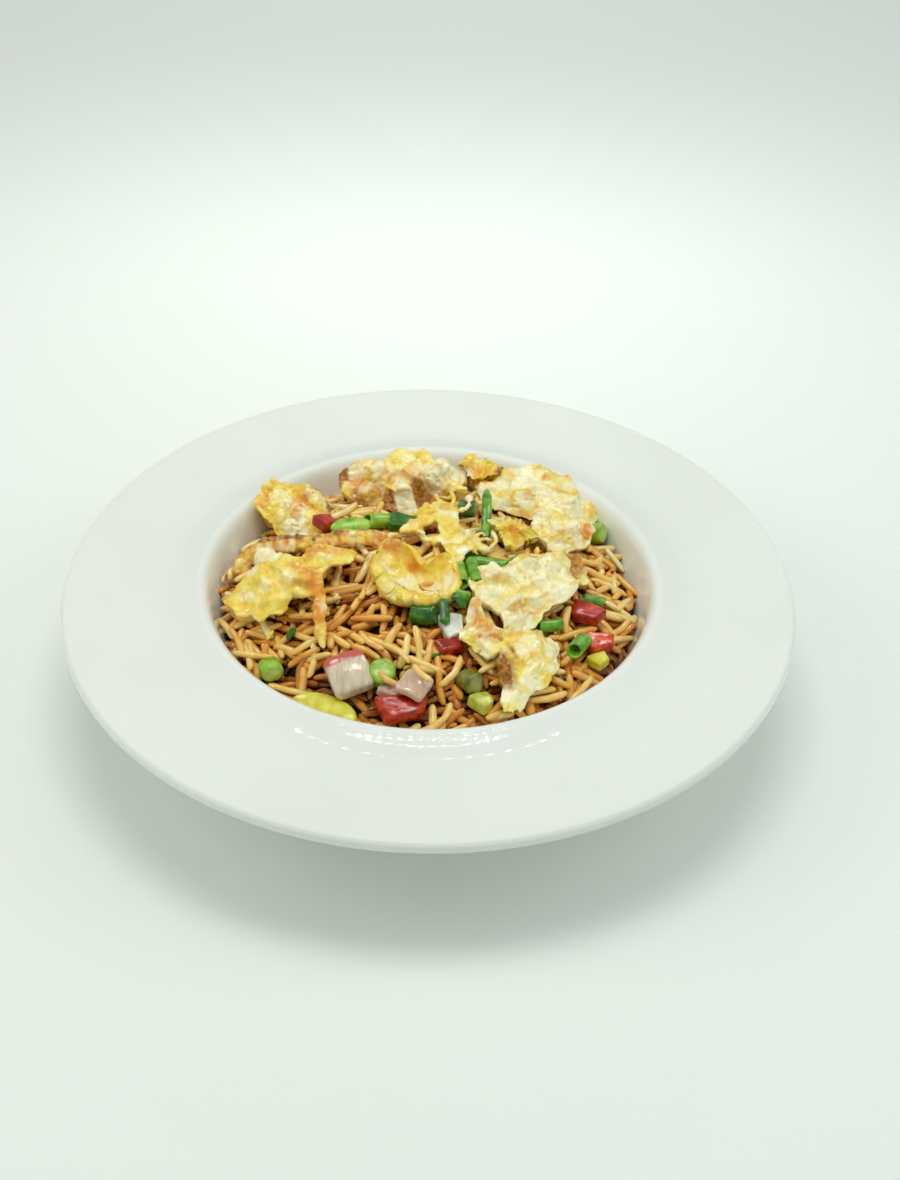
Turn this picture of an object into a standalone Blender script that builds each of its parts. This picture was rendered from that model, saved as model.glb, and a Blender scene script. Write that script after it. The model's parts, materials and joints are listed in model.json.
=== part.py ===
"""A plate of fried rice: wide-rimmed porcelain, a heap of rice, torn fried egg and cut vegetables.

Lengths inside the functions are millimetres, and MM turns them into metres when a mesh is made.
The origin is on the table under the middle of the plate, +Z is up and the diner sits at -Y.
Every topping is laid on the heap, and what lies under it is carved back to leave a small gap.
"""
import bpy
import bmesh
import numpy as np
from mathutils import Euler
from mathutils.bvhtree import BVHTree

MM = 0.001

# Plate
PLATE_RADIUS = 140.0
LIP_Z = 50.0
LIP_RADIUS = 88.0
WELL_FLOOR_RADIUS = 54.0
WELL_FLOOR_Z = 8.0
VALLEY_RADIUS = 100.0
VALLEY_DROP = 3.2
RIM_DROP = 1.4
RIM_THICKNESS = 4.6
FOOT_OUTER_RADIUS = 60.0
FOOT_INNER_RADIUS = 54.5
FOOT_RECESS = 3.4
AROUND = 40

# Rice
HEAP_RADIUS = 82.0
HEAP_EDGE_Z = LIP_Z - 12.5
HEAP_RISE = 16.5
HEAP_POWER = 2.4
HEAP_RINGS = 7
KNOB_HEIGHT = 0.7

# Gaps between pieces that touch
GAP = 0.3
CARVE_GAP = 0.55
GROUND_GAP = 0.5
FLAT_ANGLE = np.radians(2.0)

# Egg
EGG_THICKNESS = 4.0
EGG_SPOKES = 14
EGG_RINGS = 3

# Colours of the plate and the rice
PORCELAIN = (0.86, 0.88, 0.87)
STAINED_RICE = (0.72, 0.46, 0.22)

# Sheen of each kind of piece
GLAZE_ROUGHNESS = 0.12
RICE_ROUGHNESS = 0.45
EGG_ROUGHNESS = 0.5
VEGETABLE_ROUGHNESS = 0.3
SHARP_ANGLE = np.radians(40.0)


def clear_scene():
    for old in list(bpy.data.objects):
        bpy.data.objects.remove(old, do_unlink=True)


def finish(name, colour, roughness):
    """A Principled material of one colour, for one piece."""
    material = bpy.data.materials.new(name)
    material.use_nodes = True
    shader = material.node_tree.nodes["Principled BSDF"]
    shader.inputs["Base Color"].default_value = (*colour, 1.0)
    shader.inputs["Roughness"].default_value = roughness
    shader.inputs["Metallic"].default_value = 0.0
    return material


def solid(name, points, faces, colour, roughness):
    """Turn points in millimetres and faces into one closed object whose faces point outwards."""
    mesh = bpy.data.meshes.new(name)
    mesh.from_pydata((np.asarray(points) * MM).tolist(), [], faces)
    shell = bmesh.new()
    shell.from_mesh(mesh)
    bmesh.ops.recalc_face_normals(shell, faces=shell.faces)
    shell.to_mesh(mesh)
    shell.free()
    mesh.materials.append(finish(name, colour, roughness))
    mesh.shade_smooth()
    mesh.set_sharp_from_angle(angle=SHARP_ANGLE)
    piece = bpy.data.objects.new(name, mesh)
    bpy.context.collection.objects.link(piece)
    return piece


def band(first, second, count):
    """Faces between two closed rings of points that start at the given indices."""
    return [(first + i, first + (i + 1) % count, second + (i + 1) % count, second + i) for i in range(count)]


def fan(tip, ring, count):
    """Triangles from one point to a closed ring."""
    return [(tip, ring + i, ring + (i + 1) % count) for i in range(count)]


def stack_of_rings(rings, start_tip, end_tip):
    """Points and faces of a closed skin: a tip, rings of equal length one after another, and a tip."""
    count = len(rings[0])
    points = np.vstack([[start_tip], *rings, [end_tip]])
    faces = fan(0, 1, count)
    for k in range(len(rings) - 1):
        faces += band(1 + k * count, 1 + (k + 1) * count, count)
    faces += fan(len(points) - 1, 1 + (len(rings) - 1) * count, count)
    return points, faces


def ring_at(radius, z):
    """One turn of the lathe: a ring whose radius and height may change from spoke to spoke."""
    angle = 2 * np.pi * np.arange(AROUND) / AROUND
    height = np.broadcast_to(z, angle.shape)
    return np.column_stack([radius * np.cos(angle), radius * np.sin(angle), height])


# ---------------------------------------------------------------- plate

def well_profile():
    """Inside of the well from the flat floor up to the crest of its lip, as radius and height."""
    return [
        (WELL_FLOOR_RADIUS, WELL_FLOOR_Z),
        (62.0, 10.5),
        (68.0, 15.0),
        (76.0, 25.0),
        (81.5, 38.0),
        (85.0, LIP_Z - 2.6),
        (LIP_RADIUS, LIP_Z),
    ]


def rim_profile():
    """From the lip over the raised collar and the wide rim, round its edge and down to the foot."""
    rim_top = LIP_Z - RIM_DROP
    valley = LIP_Z - VALLEY_DROP
    return [
        (91.0, LIP_Z - 0.7),
        (95.5, LIP_Z - 2.5),
        (VALLEY_RADIUS, valley),
        (PLATE_RADIUS - 2.4, rim_top),
        (PLATE_RADIUS - 0.5, rim_top - 0.8),
        (PLATE_RADIUS, rim_top - 0.5 * RIM_THICKNESS),
        (PLATE_RADIUS - 1.4, rim_top - 0.9 * RIM_THICKNESS),
        (118.0, rim_top - RIM_THICKNESS - 1.2),
        (98.0, rim_top - RIM_THICKNESS - 3.4),
        (90.5, 35.0),
        (83.5, 24.0),
        (74.5, 12.5),
        (FOOT_OUTER_RADIUS + 1.5, 4.0),
        (FOOT_OUTER_RADIUS, 0.0),
        (FOOT_INNER_RADIUS, 0.0),
        (FOOT_INNER_RADIUS - 1.0, FOOT_RECESS),
    ]


def make_plate():
    """Porcelain turned as one body: floor, steep well, lip, sloping collar, broad rim, foot ring."""
    rings = [ring_at(radius, z) for radius, z in well_profile() + rim_profile()]
    points, faces = stack_of_rings(rings, (0, 0, WELL_FLOOR_Z), (0, 0, FOOT_RECESS + 0.3))
    return solid("plate", points, faces, PORCELAIN, GLAZE_ROUGHNESS)


def well_radius(z):
    """Inside radius of the well at a height."""
    radius, height = np.array(well_profile()).T
    return np.interp(z, height, radius)


# ---------------------------------------------------------------- rice

def knobs(x, y):
    """Uneven ground of the heap: five crossed waves from 17 to 45 mm long."""
    ground = np.zeros_like(np.asarray(x, float) + np.asarray(y, float))
    for k in range(5):
        wave = 2 * np.pi / (17.0 + 7.0 * k)
        heading = 0.9 + 1.35 * k
        along = x * np.cos(heading) + y * np.sin(heading)
        ground = ground + np.sin(wave * along + 1.7 * k)
    return KNOB_HEIGHT * ground


def rice_height(x, y):
    """Top of the heap: a broad dome that falls to the wall of the well, with knobs on it."""
    out = np.clip(np.hypot(x, y) / HEAP_RADIUS, 0, 1)
    return HEAP_EDGE_Z + HEAP_RISE * (1 - out ** HEAP_POWER) + knobs(x, y) * (1 - 0.35 * out)


def make_rice():
    """The heap: its uneven top, and below it the shape of the well that it fills."""
    angle = 2 * np.pi * np.arange(AROUND) / AROUND
    underside = [ring_at(radius - GAP, z + GAP) for radius, z in well_profile()[:4]]
    edge_z = rice_height(HEAP_RADIUS * np.cos(angle), HEAP_RADIUS * np.sin(angle))
    edge = ring_at(well_radius(edge_z) - GAP, edge_z)
    top = []
    for k in range(HEAP_RINGS - 1, 0, -1):
        radius = HEAP_RADIUS * k / HEAP_RINGS
        x = radius * np.cos(angle)
        y = radius * np.sin(angle)
        top.append(np.column_stack([x, y, rice_height(x, y)]))
    crown = (0, 0, float(rice_height(0.0, 0.0)))
    points, faces = stack_of_rings(underside + [edge] + top, (0, 0, WELL_FLOOR_Z + GAP), crown)
    return solid("rice_heap", points, faces, STAINED_RICE, RICE_ROUGHNESS)


# ---------------------------------------------------------------- egg

def grid_normals(grid):
    """Unit normals of a grid of points [ring, spoke], whose spokes close on themselves."""
    outward = np.gradient(grid, axis=0)
    around = np.roll(grid, -1, axis=1) - np.roll(grid, 1, axis=1)
    normal = np.cross(outward, around)
    return normal / np.maximum(np.linalg.norm(normal, axis=2, keepdims=True), 1e-9)


def near(angle, centre, width):
    """A smooth window round one direction: 1 at the centre, falling to 0 at a few widths."""
    off = np.angle(np.exp(1j * (angle - np.radians(centre))))
    return np.exp(-(off / np.radians(width)) ** 2)


def egg_surface(s, angle, spec):
    """Upper side of a torn egg sheet at fraction s of its outline and at an angle round it.

    The outline is an ellipse with lobes. The sheet lies on the rice, bulges by its crown, rises
    along its slope, is rumpled by two crossed waves, and near each curl its edge lifts and draws in.
    """
    outline = np.ones_like(angle)
    for order, size, phase in spec["lobes"]:
        outline = outline + size * np.cos(order * (angle - np.radians(phase)))
    draw = np.ones_like(s)
    lift = np.zeros_like(s)
    for direction, width, rise, pull in spec["curls"]:
        edge = near(angle, direction, width) * np.clip((s - 0.4) / 0.6, 0, 1) ** 1.6
        lift = lift + rise * edge
        draw = draw - pull * edge
    turn = np.radians(spec["turn"])
    u = spec["half"][0] * s * outline * draw * np.cos(angle)
    v = spec["half"][1] * s * outline * draw * np.sin(angle)
    x = spec["centre"][0] + u * np.cos(turn) - v * np.sin(turn)
    y = spec["centre"][1] + u * np.sin(turn) + v * np.cos(turn)
    rumple = spec["rumple"] * (np.sin(0.42 * x + 0.2 * y) + np.sin(0.33 * y - 0.25 * x + 1.0))
    slope_x, slope_y = spec["slope"]
    bed = rice_height(x, y) - 0.6 * knobs(x, y)
    z = bed + spec["lift"] + spec["crown"] * (1 - s ** 2) + rumple + lift
    z = z + slope_x * (x - spec["centre"][0]) + slope_y * (y - spec["centre"][1])
    return np.stack([x, y, z], axis=-1)


def make_egg_sheet(name, colour, **spec):
    """A closed piece of egg: its upper side, an underside and the edge between them.

    At the edge the egg is one sheet thick. Within the heart of the piece, the share of the outline
    that is folded double, the underside goes down to the rice.
    """
    spokes = spec.get("spokes", EGG_SPOKES)
    rings = spec.get("rings", EGG_RINGS)
    thick = spec.get("thick", EGG_THICKNESS)
    fraction = (np.arange(1, rings + 1) / rings) ** 0.8
    s, angle = np.meshgrid(fraction, 2 * np.pi * np.arange(spokes) / spokes, indexing="ij")
    upper = egg_surface(s, angle, spec)
    normal = grid_normals(upper)
    normal = normal * np.sign(normal[..., 2:3].mean())
    lower = upper - normal * thick * (1.0 - 0.35 * s[..., None] ** 4)
    ground = rice_height(lower[..., 0], lower[..., 1]) + GROUND_GAP
    heart = s <= spec.get("heart", 0.0)
    lower[..., 2] = np.where(heart, np.minimum(lower[..., 2], ground), lower[..., 2])
    near_well = np.hypot(lower[..., 0], lower[..., 1]) < HEAP_RADIUS
    lifted = np.minimum(np.maximum(lower[..., 2], ground), upper[..., 2] - 0.6)
    lower[..., 2] = np.where(near_well, lifted, lower[..., 2])
    middle = egg_surface(np.zeros(1), np.zeros(1), spec)[0]
    under = middle - np.array([0, 0, thick])
    if spec.get("heart", 0.0) > 0:
        under[2] = min(under[2], float(rice_height(middle[0], middle[1])) + GROUND_GAP)
    points, faces = stack_of_rings(list(upper) + list(lower[::-1]), middle, under)
    return solid(name, points, faces, colour, EGG_ROUGHNESS)


def smooth_path(stops, count):
    """A Catmull-Rom curve through the stops, read at evenly spaced fractions."""
    stops = np.asarray(stops, float)
    padded = np.vstack([2 * stops[0] - stops[1], stops, 2 * stops[-1] - stops[-2]])
    t = np.linspace(0, len(stops) - 1, count)
    k = np.minimum(t.astype(int), len(stops) - 2)
    f = (t - k)[:, None]
    a, b, c, d = (padded[k + i] for i in range(4))
    bend = (2 * a - 5 * b + 4 * c - d) * f ** 2
    return 0.5 * (2 * b + (c - a) * f + bend + (3 * b - a - 3 * c + d) * f ** 3)


def make_ribbon(name, colour, stops, width, thick, lean, sections):
    """A flat strip, thin at its edges, carried along a path; lean turns it from flat to upright.

    The stops are x, y and the height of the strip's middle above the rice.
    """
    route = smooth_path(stops, sections)
    route[:, 2] += rice_height(route[:, 0], route[:, 1])
    ahead = np.gradient(route, axis=0)
    ahead /= np.linalg.norm(ahead, axis=1, keepdims=True)
    side = np.cross(ahead, [0, 0, 1.0])
    side /= np.linalg.norm(side, axis=1, keepdims=True)
    up = np.cross(side, ahead)
    tilt = np.radians(lean)
    broad = side * np.cos(tilt) + up * np.sin(tilt)
    flat = up * np.cos(tilt) - side * np.sin(tilt)
    fraction = np.linspace(0, 1, sections)
    taper = np.interp(fraction, [0, 0.12, 0.88, 1], [0.55, 1, 1, 0.6])[:, None]
    corners = [(0.5, 0), (0.1, 0.5), (-0.5, 0), (-0.1, -0.5)]
    skin = []
    for k in range(sections):
        ring = [route[k] + broad[k] * width * taper[k] * a + flat[k] * thick * b for a, b in corners]
        skin.append(np.array(ring))
    points, faces = stack_of_rings(skin, route[0], route[-1])
    return solid(name, points, faces, colour, EGG_ROUGHNESS)


# ---------------------------------------------------------------- vegetables

def lay(points, place, turn, tilt, lift):
    """Turn and tilt points about their own origin and set them on the rice at place."""
    matrix = Euler((np.radians(tilt[0]), np.radians(tilt[1]), np.radians(turn))).to_matrix()
    laid = np.asarray(points) @ np.array(matrix).T
    base = float(rice_height(place[0], place[1])) + lift
    return laid + np.array([place[0], place[1], base])


def make_chunk(name, colour, place, size, turn, tilt=(0, 0), lift=0.0, bulge=0.0):
    """A knife-cut block: eight-sided in plan, its corners nipped off, wider at one end, top domed."""
    length, width, height = np.array(size) / 2
    skew = 0.15
    plan = [(1, -0.6), (1, 0.6), (0.6, 1), (-0.6, 1), (-1, 0.6), (-1, -0.6), (-0.6, -1), (0.6, -1)]
    plan = np.array(plan)
    rings = []
    for level, inset in ((-1.0, 0.94), (0.6, 1.0), (1.0, 0.80)):
        grow = inset * (1 + skew * level * 0.5)
        x = plan[:, 0] * length * grow * (1 + skew * plan[:, 1])
        y = plan[:, 1] * width * grow * (1 - skew * plan[:, 0])
        rings.append(np.column_stack([x, y, np.full(len(plan), level * height)]))
    points, faces = stack_of_rings(rings, (0, 0, -height), (0, 0, height * (1 + bulge)))
    return solid(name, lay(points, place, turn, tilt, lift), faces, colour, VEGETABLE_ROUGHNESS)


def make_round(name, colour, place, radius, length, turn, tilt=(0, 0), lift=0.0, oval=1.0):
    """A slice of something round, such as a bean: a short barrel with softened edges, along its own Z."""
    angle = 2 * np.pi * np.arange(8) / 8
    rings = []
    for level, swell in ((-0.5, 0.78), (-0.34, 1.0), (0.34, 1.0), (0.5, 0.78)):
        x = radius * swell * np.cos(angle)
        y = radius * swell * oval * np.sin(angle)
        rings.append(np.column_stack([x, y, np.full(8, level * length)]))
    points, faces = stack_of_rings(rings, (0, 0, -0.52 * length), (0, 0, 0.52 * length))
    return solid(name, lay(points, place, turn, tilt, lift), faces, colour, VEGETABLE_ROUGHNESS)


def make_tube(name, colour, place, radius, length, turn, tilt=(0, 0), lift=0.0, oval=0.85):
    """A cut length of hollow leaf: a tube along its own X whose ends are sliced on a slant."""
    wall = 1.1
    slant = 0.5
    angle = 2 * np.pi * np.arange(8) / 8
    rings = []
    for end, bore in ((-0.5, radius - wall), (-0.5, radius), (0.5, radius), (0.5, radius - wall)):
        y = bore * np.cos(angle)
        z = bore * oval * np.sin(angle)
        rings.append(np.column_stack([end * length + slant * z, y, z]))
    points = np.vstack(rings)
    faces = []
    for k in range(4):
        faces += band(8 * k, 8 * ((k + 1) % 4), 8)
    return solid(name, lay(points, place, turn, tilt, lift), faces, colour, VEGETABLE_ROUGHNESS)


def make_petal(name, colour, place, size, turn, tilt=(0, 0), lift=0.0, bow=1.4, thick=2.6):
    """One layer of an onion cut square: a slab bowed both ways, four by three points on each face."""
    u, v = np.meshgrid(np.linspace(-1, 1, 4), np.linspace(-1, 1, 3), indexing="ij")
    narrow = 1 - 0.14 * u
    x = size[0] / 2 * u
    y = size[1] / 2 * v * narrow
    z = -bow * (0.6 * u ** 2 + v ** 2)
    upper = np.stack([x, y, z], axis=-1)
    lower = np.stack([x * 0.93, y * 0.93, z - thick], axis=-1)
    points = np.vstack([upper.reshape(-1, 3), lower.reshape(-1, 3)])
    faces = []
    for a in (0, 1, 3, 4, 6, 7):
        faces.append((a, a + 3, a + 4, a + 1))
        faces.append((a + 12, a + 13, a + 16, a + 15))
    rim = [0, 3, 6, 9, 10, 11, 8, 5, 2, 1]
    for k, a in enumerate(rim):
        b = rim[(k + 1) % len(rim)]
        faces.append((a, b, b + 12, a + 12))
    return solid(name, lay(points, place, turn, tilt, lift), faces, colour, VEGETABLE_ROUGHNESS)


# ---------------------------------------------------------------- fitting pieces to each other

def boolean(target, tool, operation):
    """Apply one Boolean to the target.

    A cut through one thin piece after another leaves slivers that the exact solver then trips
    over, so the manifold solver does it: every shape here is closed.
    """
    change = target.modifiers.new(operation.lower(), "BOOLEAN")
    change.operation = operation
    change.object = tool
    change.solver = "MANIFOLD"
    view = bpy.context.evaluated_depsgraph_get()
    result = bpy.data.meshes.new_from_object(target.evaluated_get(view))
    target.modifiers.remove(change)
    result.name = target.name
    target.data = result


def islands_of(shell):
    """The vertices of each loose part of a mesh."""
    islands = []
    waiting = set(shell.verts)
    while waiting:
        front = [waiting.pop()]
        island = set(front)
        while front:
            for edge in front.pop().link_edges:
                fresh = {vertex for vertex in edge.verts if vertex not in island}
                island |= fresh
                front.extend(fresh)
        waiting -= island
        islands.append(island)
    return islands


def reach(island):
    """Diagonal of the box round some vertices."""
    points = np.array([vertex.co for vertex in island])
    return float(np.linalg.norm(points.max(axis=0) - points.min(axis=0)))


def keep_largest(piece):
    """Drop the crumbs that a cut leaves and the edges that it draws across flat faces."""
    shell = bmesh.new()
    shell.from_mesh(piece.data)
    for crumb in sorted(islands_of(shell), key=reach)[:-1]:
        bmesh.ops.delete(shell, geom=list(crumb), context="VERTS")
    bmesh.ops.dissolve_limit(shell, angle_limit=FLAT_ANGLE, verts=shell.verts, edges=shell.edges)
    bmesh.ops.triangulate(shell, faces=shell.faces)
    shell.to_mesh(piece.data)
    shell.free()


def grown(piece):
    """A hidden cutter: the piece's own shape, grown by the carving gap along its normals."""
    shell = bmesh.new()
    shell.from_mesh(piece.data)
    shell.normal_update()
    moves = [(vertex, vertex.normal * min(vertex.calc_shell_factor(), 2.0)) for vertex in shell.verts]
    for vertex, move in moves:
        vertex.co += move * CARVE_GAP * MM
    mesh = bpy.data.meshes.new(piece.name + ".cutter")
    shell.to_mesh(mesh)
    shell.free()
    cutter = bpy.data.objects.new(piece.name + ".cutter", mesh)
    cutter.hide_render = True
    cutter.display_type = "WIRE"
    bpy.context.collection.objects.link(cutter)
    return cutter


def skin_tree(piece):
    """Search tree of a piece's faces."""
    corners = [vertex.co for vertex in piece.data.vertices]
    return BVHTree.FromPolygons(corners, [face.vertices[:] for face in piece.data.polygons])


def carve_in_order(pieces):
    """Each piece gives way to every later one that cuts its skin; the later one lies on top."""
    cutters = [grown(piece) for piece in pieces]
    trees = [skin_tree(piece) for piece in pieces]
    for k, piece in enumerate(pieces[:-1]):
        touching = [j for j in range(k + 1, len(pieces)) if trees[k].overlap(trees[j])]
        for j in touching:
            boolean(piece, cutters[j], "DIFFERENCE")
        if touching:
            keep_largest(piece)
    for cutter in cutters:
        bpy.data.objects.remove(cutter, do_unlink=True)


# ---------------------------------------------------------------- what lies on the rice

YOLK = (0.93, 0.76, 0.30)
WHITE = (0.95, 0.88, 0.62)
CRUST = (0.45, 0.22, 0.07)
GREEN = (0.10, 0.30, 0.05)
LEAF = (0.22, 0.42, 0.10)
PEPPER = (0.50, 0.06, 0.03)
ONION = (0.72, 0.60, 0.50)
SQUASH = (0.75, 0.66, 0.08)
WHITE_FLESH = (0.80, 0.82, 0.74)
BLUE_GREEN = (0.10, 0.30, 0.16)


def make_vegetables():
    """Cut vegetables, from the left round the front to the right, then the middle and the back."""
    chive_down_stops = [(5.2, -27, 6.4), (5.6, -33, 6.2), (5.8, -38, 5.4)]
    chive_across_stops = [(8.0, -26, 6.6), (10.5, -27.2, 6.6), (13.2, -30, 5.6)]
    chive_long_stops = [(21.8, 15, 3.6), (22.2, 28, 6.0), (22.6, 44, 11.0)]
    return [
        make_round("bean_left", LEAF, (-58, -48), 4.6, 8, 20, (80, 0), 1.8, 0.9),
        make_petal("squash_slice", SQUASH, (-36.5, -67.5), (22, 12), -16, (8, 0), 3.6, bow=1.6, thick=3.2),
        make_petal("onion_chunk", ONION, (-28.5, -57), (15.5, 16.5), 22, (16, -8), 5.2, bow=1.6, thick=5.5),
        make_round("bean_slice", GREEN, (-16.5, -56.5), 4.8, 6.5, 10, (28, 0), 3.4),
        make_chunk("onion_strip", ONION, (-13.5, -62.5), (9, 5, 3.5), -25, (0, 10), 1.2),
        make_petal("onion_petal", ONION, (-4.5, -63), (14, 11), 68, (12, 6), 6.0),
        make_chunk("red_pepper_front", PEPPER, (-9, -70), (17, 9, 6), 10, (20, 0), 1.4, bulge=0.2),
        make_round("olive_bean", LEAF, (15, -59), 4.0, 8, 35, (75, 0), 1.2),
        make_chunk("squash_bit_front", SQUASH, (19.5, -66), (7.5, 7.5, 5), 40, (0, 12), 1.4, bulge=0.3),
        make_chunk("red_pepper_upper", PEPPER, (59.5, -21), (12, 7.5, 5.5), -24, (12, 0), 2.4, bulge=0.2),
        make_tube("spring_onion_upper", GREEN, (62, -13.5), 2.3, 8, -12, (0, 6), 3.6),
        make_chunk("red_pepper_lower", PEPPER, (63.5, -33.5), (11, 8, 5.5), 14, (10, 8), 2.0, bulge=0.2),
        make_tube("spring_onion_lower", GREEN, (55.4, -38.5), 3.2, 8.5, 62, (0, 8), 2.6, oval=0.75),
        make_chunk("squash_right", SQUASH, (63, -41.5), (7, 6, 4), 35, lift=0.4),
        make_tube("spring_onion_under_egg", GREEN, (44, -31), 2.8, 9, 22, (0, 8), 2.2),
        make_chunk("white_chunk", WHITE_FLESH, (8.5, -35.5), (8, 11, 6), 12, (10, 0), 2.2, bulge=0.2),
        make_round("bean_dark", GREEN, (-2, -29.5), 3.8, 10, 80, (82, 0), 0.8),
        make_chunk("red_bit_middle", PEPPER, (8, -44), (10, 6, 4), 15, lift=0.2),
        make_ribbon("chive_down", GREEN, chive_down_stops, 4.0, 2.2, 8, 4),
        make_ribbon("chive_across", GREEN, chive_across_stops, 3.8, 2.2, 8, 4),
        make_round("leek_slice", LEAF, (12.6, -22.5), 3.2, 4.5, 60, (0, 35), 2.4),
        make_tube("leek_left", LEAF, (11.8, -10), 2.5, 13, 97, (0, 4), 3.0),
        make_tube("leek_right", GREEN, (17.0, -9.5), 2.4, 15, 100, (0, 4), 3.2),
        make_tube("leek_across", GREEN, (21.5, 2.0), 2.5, 14, -8, (0, 2), 3.0),
        make_chunk("leek_dark", GREEN, (25, -4.8), (7.5, 6, 4.5), 20, (0, 8), 2.0, bulge=0.2),
        make_chunk("leek_bit", GREEN, (33, 2.2), (5.5, 5, 4), 50, lift=1.8, bulge=0.3),
        make_petal("bean_leaf_back", LEAF, (-31.2, 25), (15, 7), 12, (24, 0), 4.2, bow=1.0, thick=2.4),
        make_tube("spring_onion_back", LEAF, (-21, 30), 3.4, 10, 20, (0, 12), 4.0),
        make_chunk("dark_green_back", GREEN, (-11, 27.5), (11, 8, 4), -20, lift=2.2, bulge=0.3),
        make_chunk("red_pepper_back", PEPPER, (-42, 30), (7, 7, 5), 40, (0, 14), 3.0, bulge=0.2),
        make_round("bean_blue", BLUE_GREEN, (15, 38.5), 3.8, 7, 80, (80, 0), 2.6, 0.85),
        make_round("bean_right_back", LEAF, (68, 38), 4.0, 6, 60, (70, 0), 3.0),
        make_ribbon("chive_long", GREEN, chive_long_stops, 4.2, 3.4, 10, 5),
    ]


def weld_on(piece, *parts):
    """Make parts of the same egg one body with it."""
    for part in parts:
        boolean(piece, part, "UNION")
        bpy.data.objects.remove(part, do_unlink=True)
    keep_largest(piece)
    return piece


def make_web():
    """A lacy fringe of egg: a broad strand, a branch to the left and a tongue to the right, in one."""
    trunk_stops = [(10, 37, 6.0), (7.5, 30, 6.4), (8.0, 19, 6.2), (10.0, 8, 5.4), (11, -2, 3.6)]
    branch_stops = [(-12, 14, 6.0), (-6, 17.5, 6.4), (0, 21.5, 6.2), (7, 25, 6.0)]
    loop_stops = [(-4, 17, 6.0), (-2, 10, 5.6), (4, 9.5, 5.4), (8, 15, 5.6)]
    tongue_stops = [(9.5, 8.5, 5.2), (16, 9.2, 5.2), (24, 8.6, 5.0), (29, 8.4, 4.6)]
    web = make_ribbon("egg_web", WHITE, trunk_stops, 11.0, 3.2, 6, 7)
    branch = make_ribbon("branch", WHITE, branch_stops, 6.5, 2.8, 4, 5)
    loop = make_ribbon("loop", WHITE, loop_stops, 4.5, 2.8, 4, 5)
    tongue = make_ribbon("tongue", WHITE, tongue_stops, 5.5, 2.8, 4, 4)
    return weld_on(web, branch, loop, tongue)


def make_left_egg():
    """Fluffy piece on the left: a swollen fold, a flap to its right, a knob behind and a long drip."""
    body = make_egg_sheet(
        "egg_left", YOLK, centre=(-56.5, -8.5), half=(17.5, 15), turn=8, lift=6.2, crown=4.2,
        lobes=[(2, 0.05, 0), (3, 0.08, 70), (4, 0.05, 30)], slope=(0.03, 0.0), rumple=1.0,
        curls=[(225, 30, 1.5, 0.05)], thick=5.0, heart=0.7)
    flap = make_egg_sheet(
        "flap", YOLK, centre=(-41, -1), half=(11, 8), turn=-14, lift=6.8, crown=1.6,
        lobes=[(3, 0.12, 0)], slope=(0.10, 0.0), rumple=0.8,
        curls=[(60, 40, 2.5, 0.1)], thick=3.2, spokes=10, rings=2)
    knob = make_round("knob", YOLK, (-63.5, 5.5), 4.8, 9.5, 0, (0, 0), 6.0, 0.85)
    drip_stops = [(-45, -14, 6.2), (-42, -24, 5.4), (-40.5, -34, 5.0), (-38, -43, 3.4)]
    drip = make_ribbon("drip", YOLK, drip_stops, 7.5, 4.0, 8, 7)
    return weld_on(body, flap, knob, drip)


def make_right_egg():
    """The largest piece, on the right: a long rumpled sheet with a hole torn in its lower end."""
    sheet = make_egg_sheet(
        "egg_right_large", WHITE, centre=(33, -22.5), half=(31.5, 17), turn=54, lift=6.6, crown=3.0,
        lobes=[(1, 0.03, 90), (2, 0.08, 5), (3, 0.09, 78), (5, 0.05, 20)], slope=(0.02, 0.02), rumple=1.0,
        curls=[(5, 22, 2.5, 0.08), (185, 24, 1.5, 0.06), (270, 24, 1.5, 0.05)],
        thick=4.5, spokes=16, rings=4, heart=0.4)
    hole = make_chunk("hole", WHITE, (23, -34.5), (11.5, 6.5, 40), 115)
    boolean(sheet, hole, "DIFFERENCE")
    bpy.data.objects.remove(hole, do_unlink=True)
    keep_largest(sheet)
    return sheet


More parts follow.
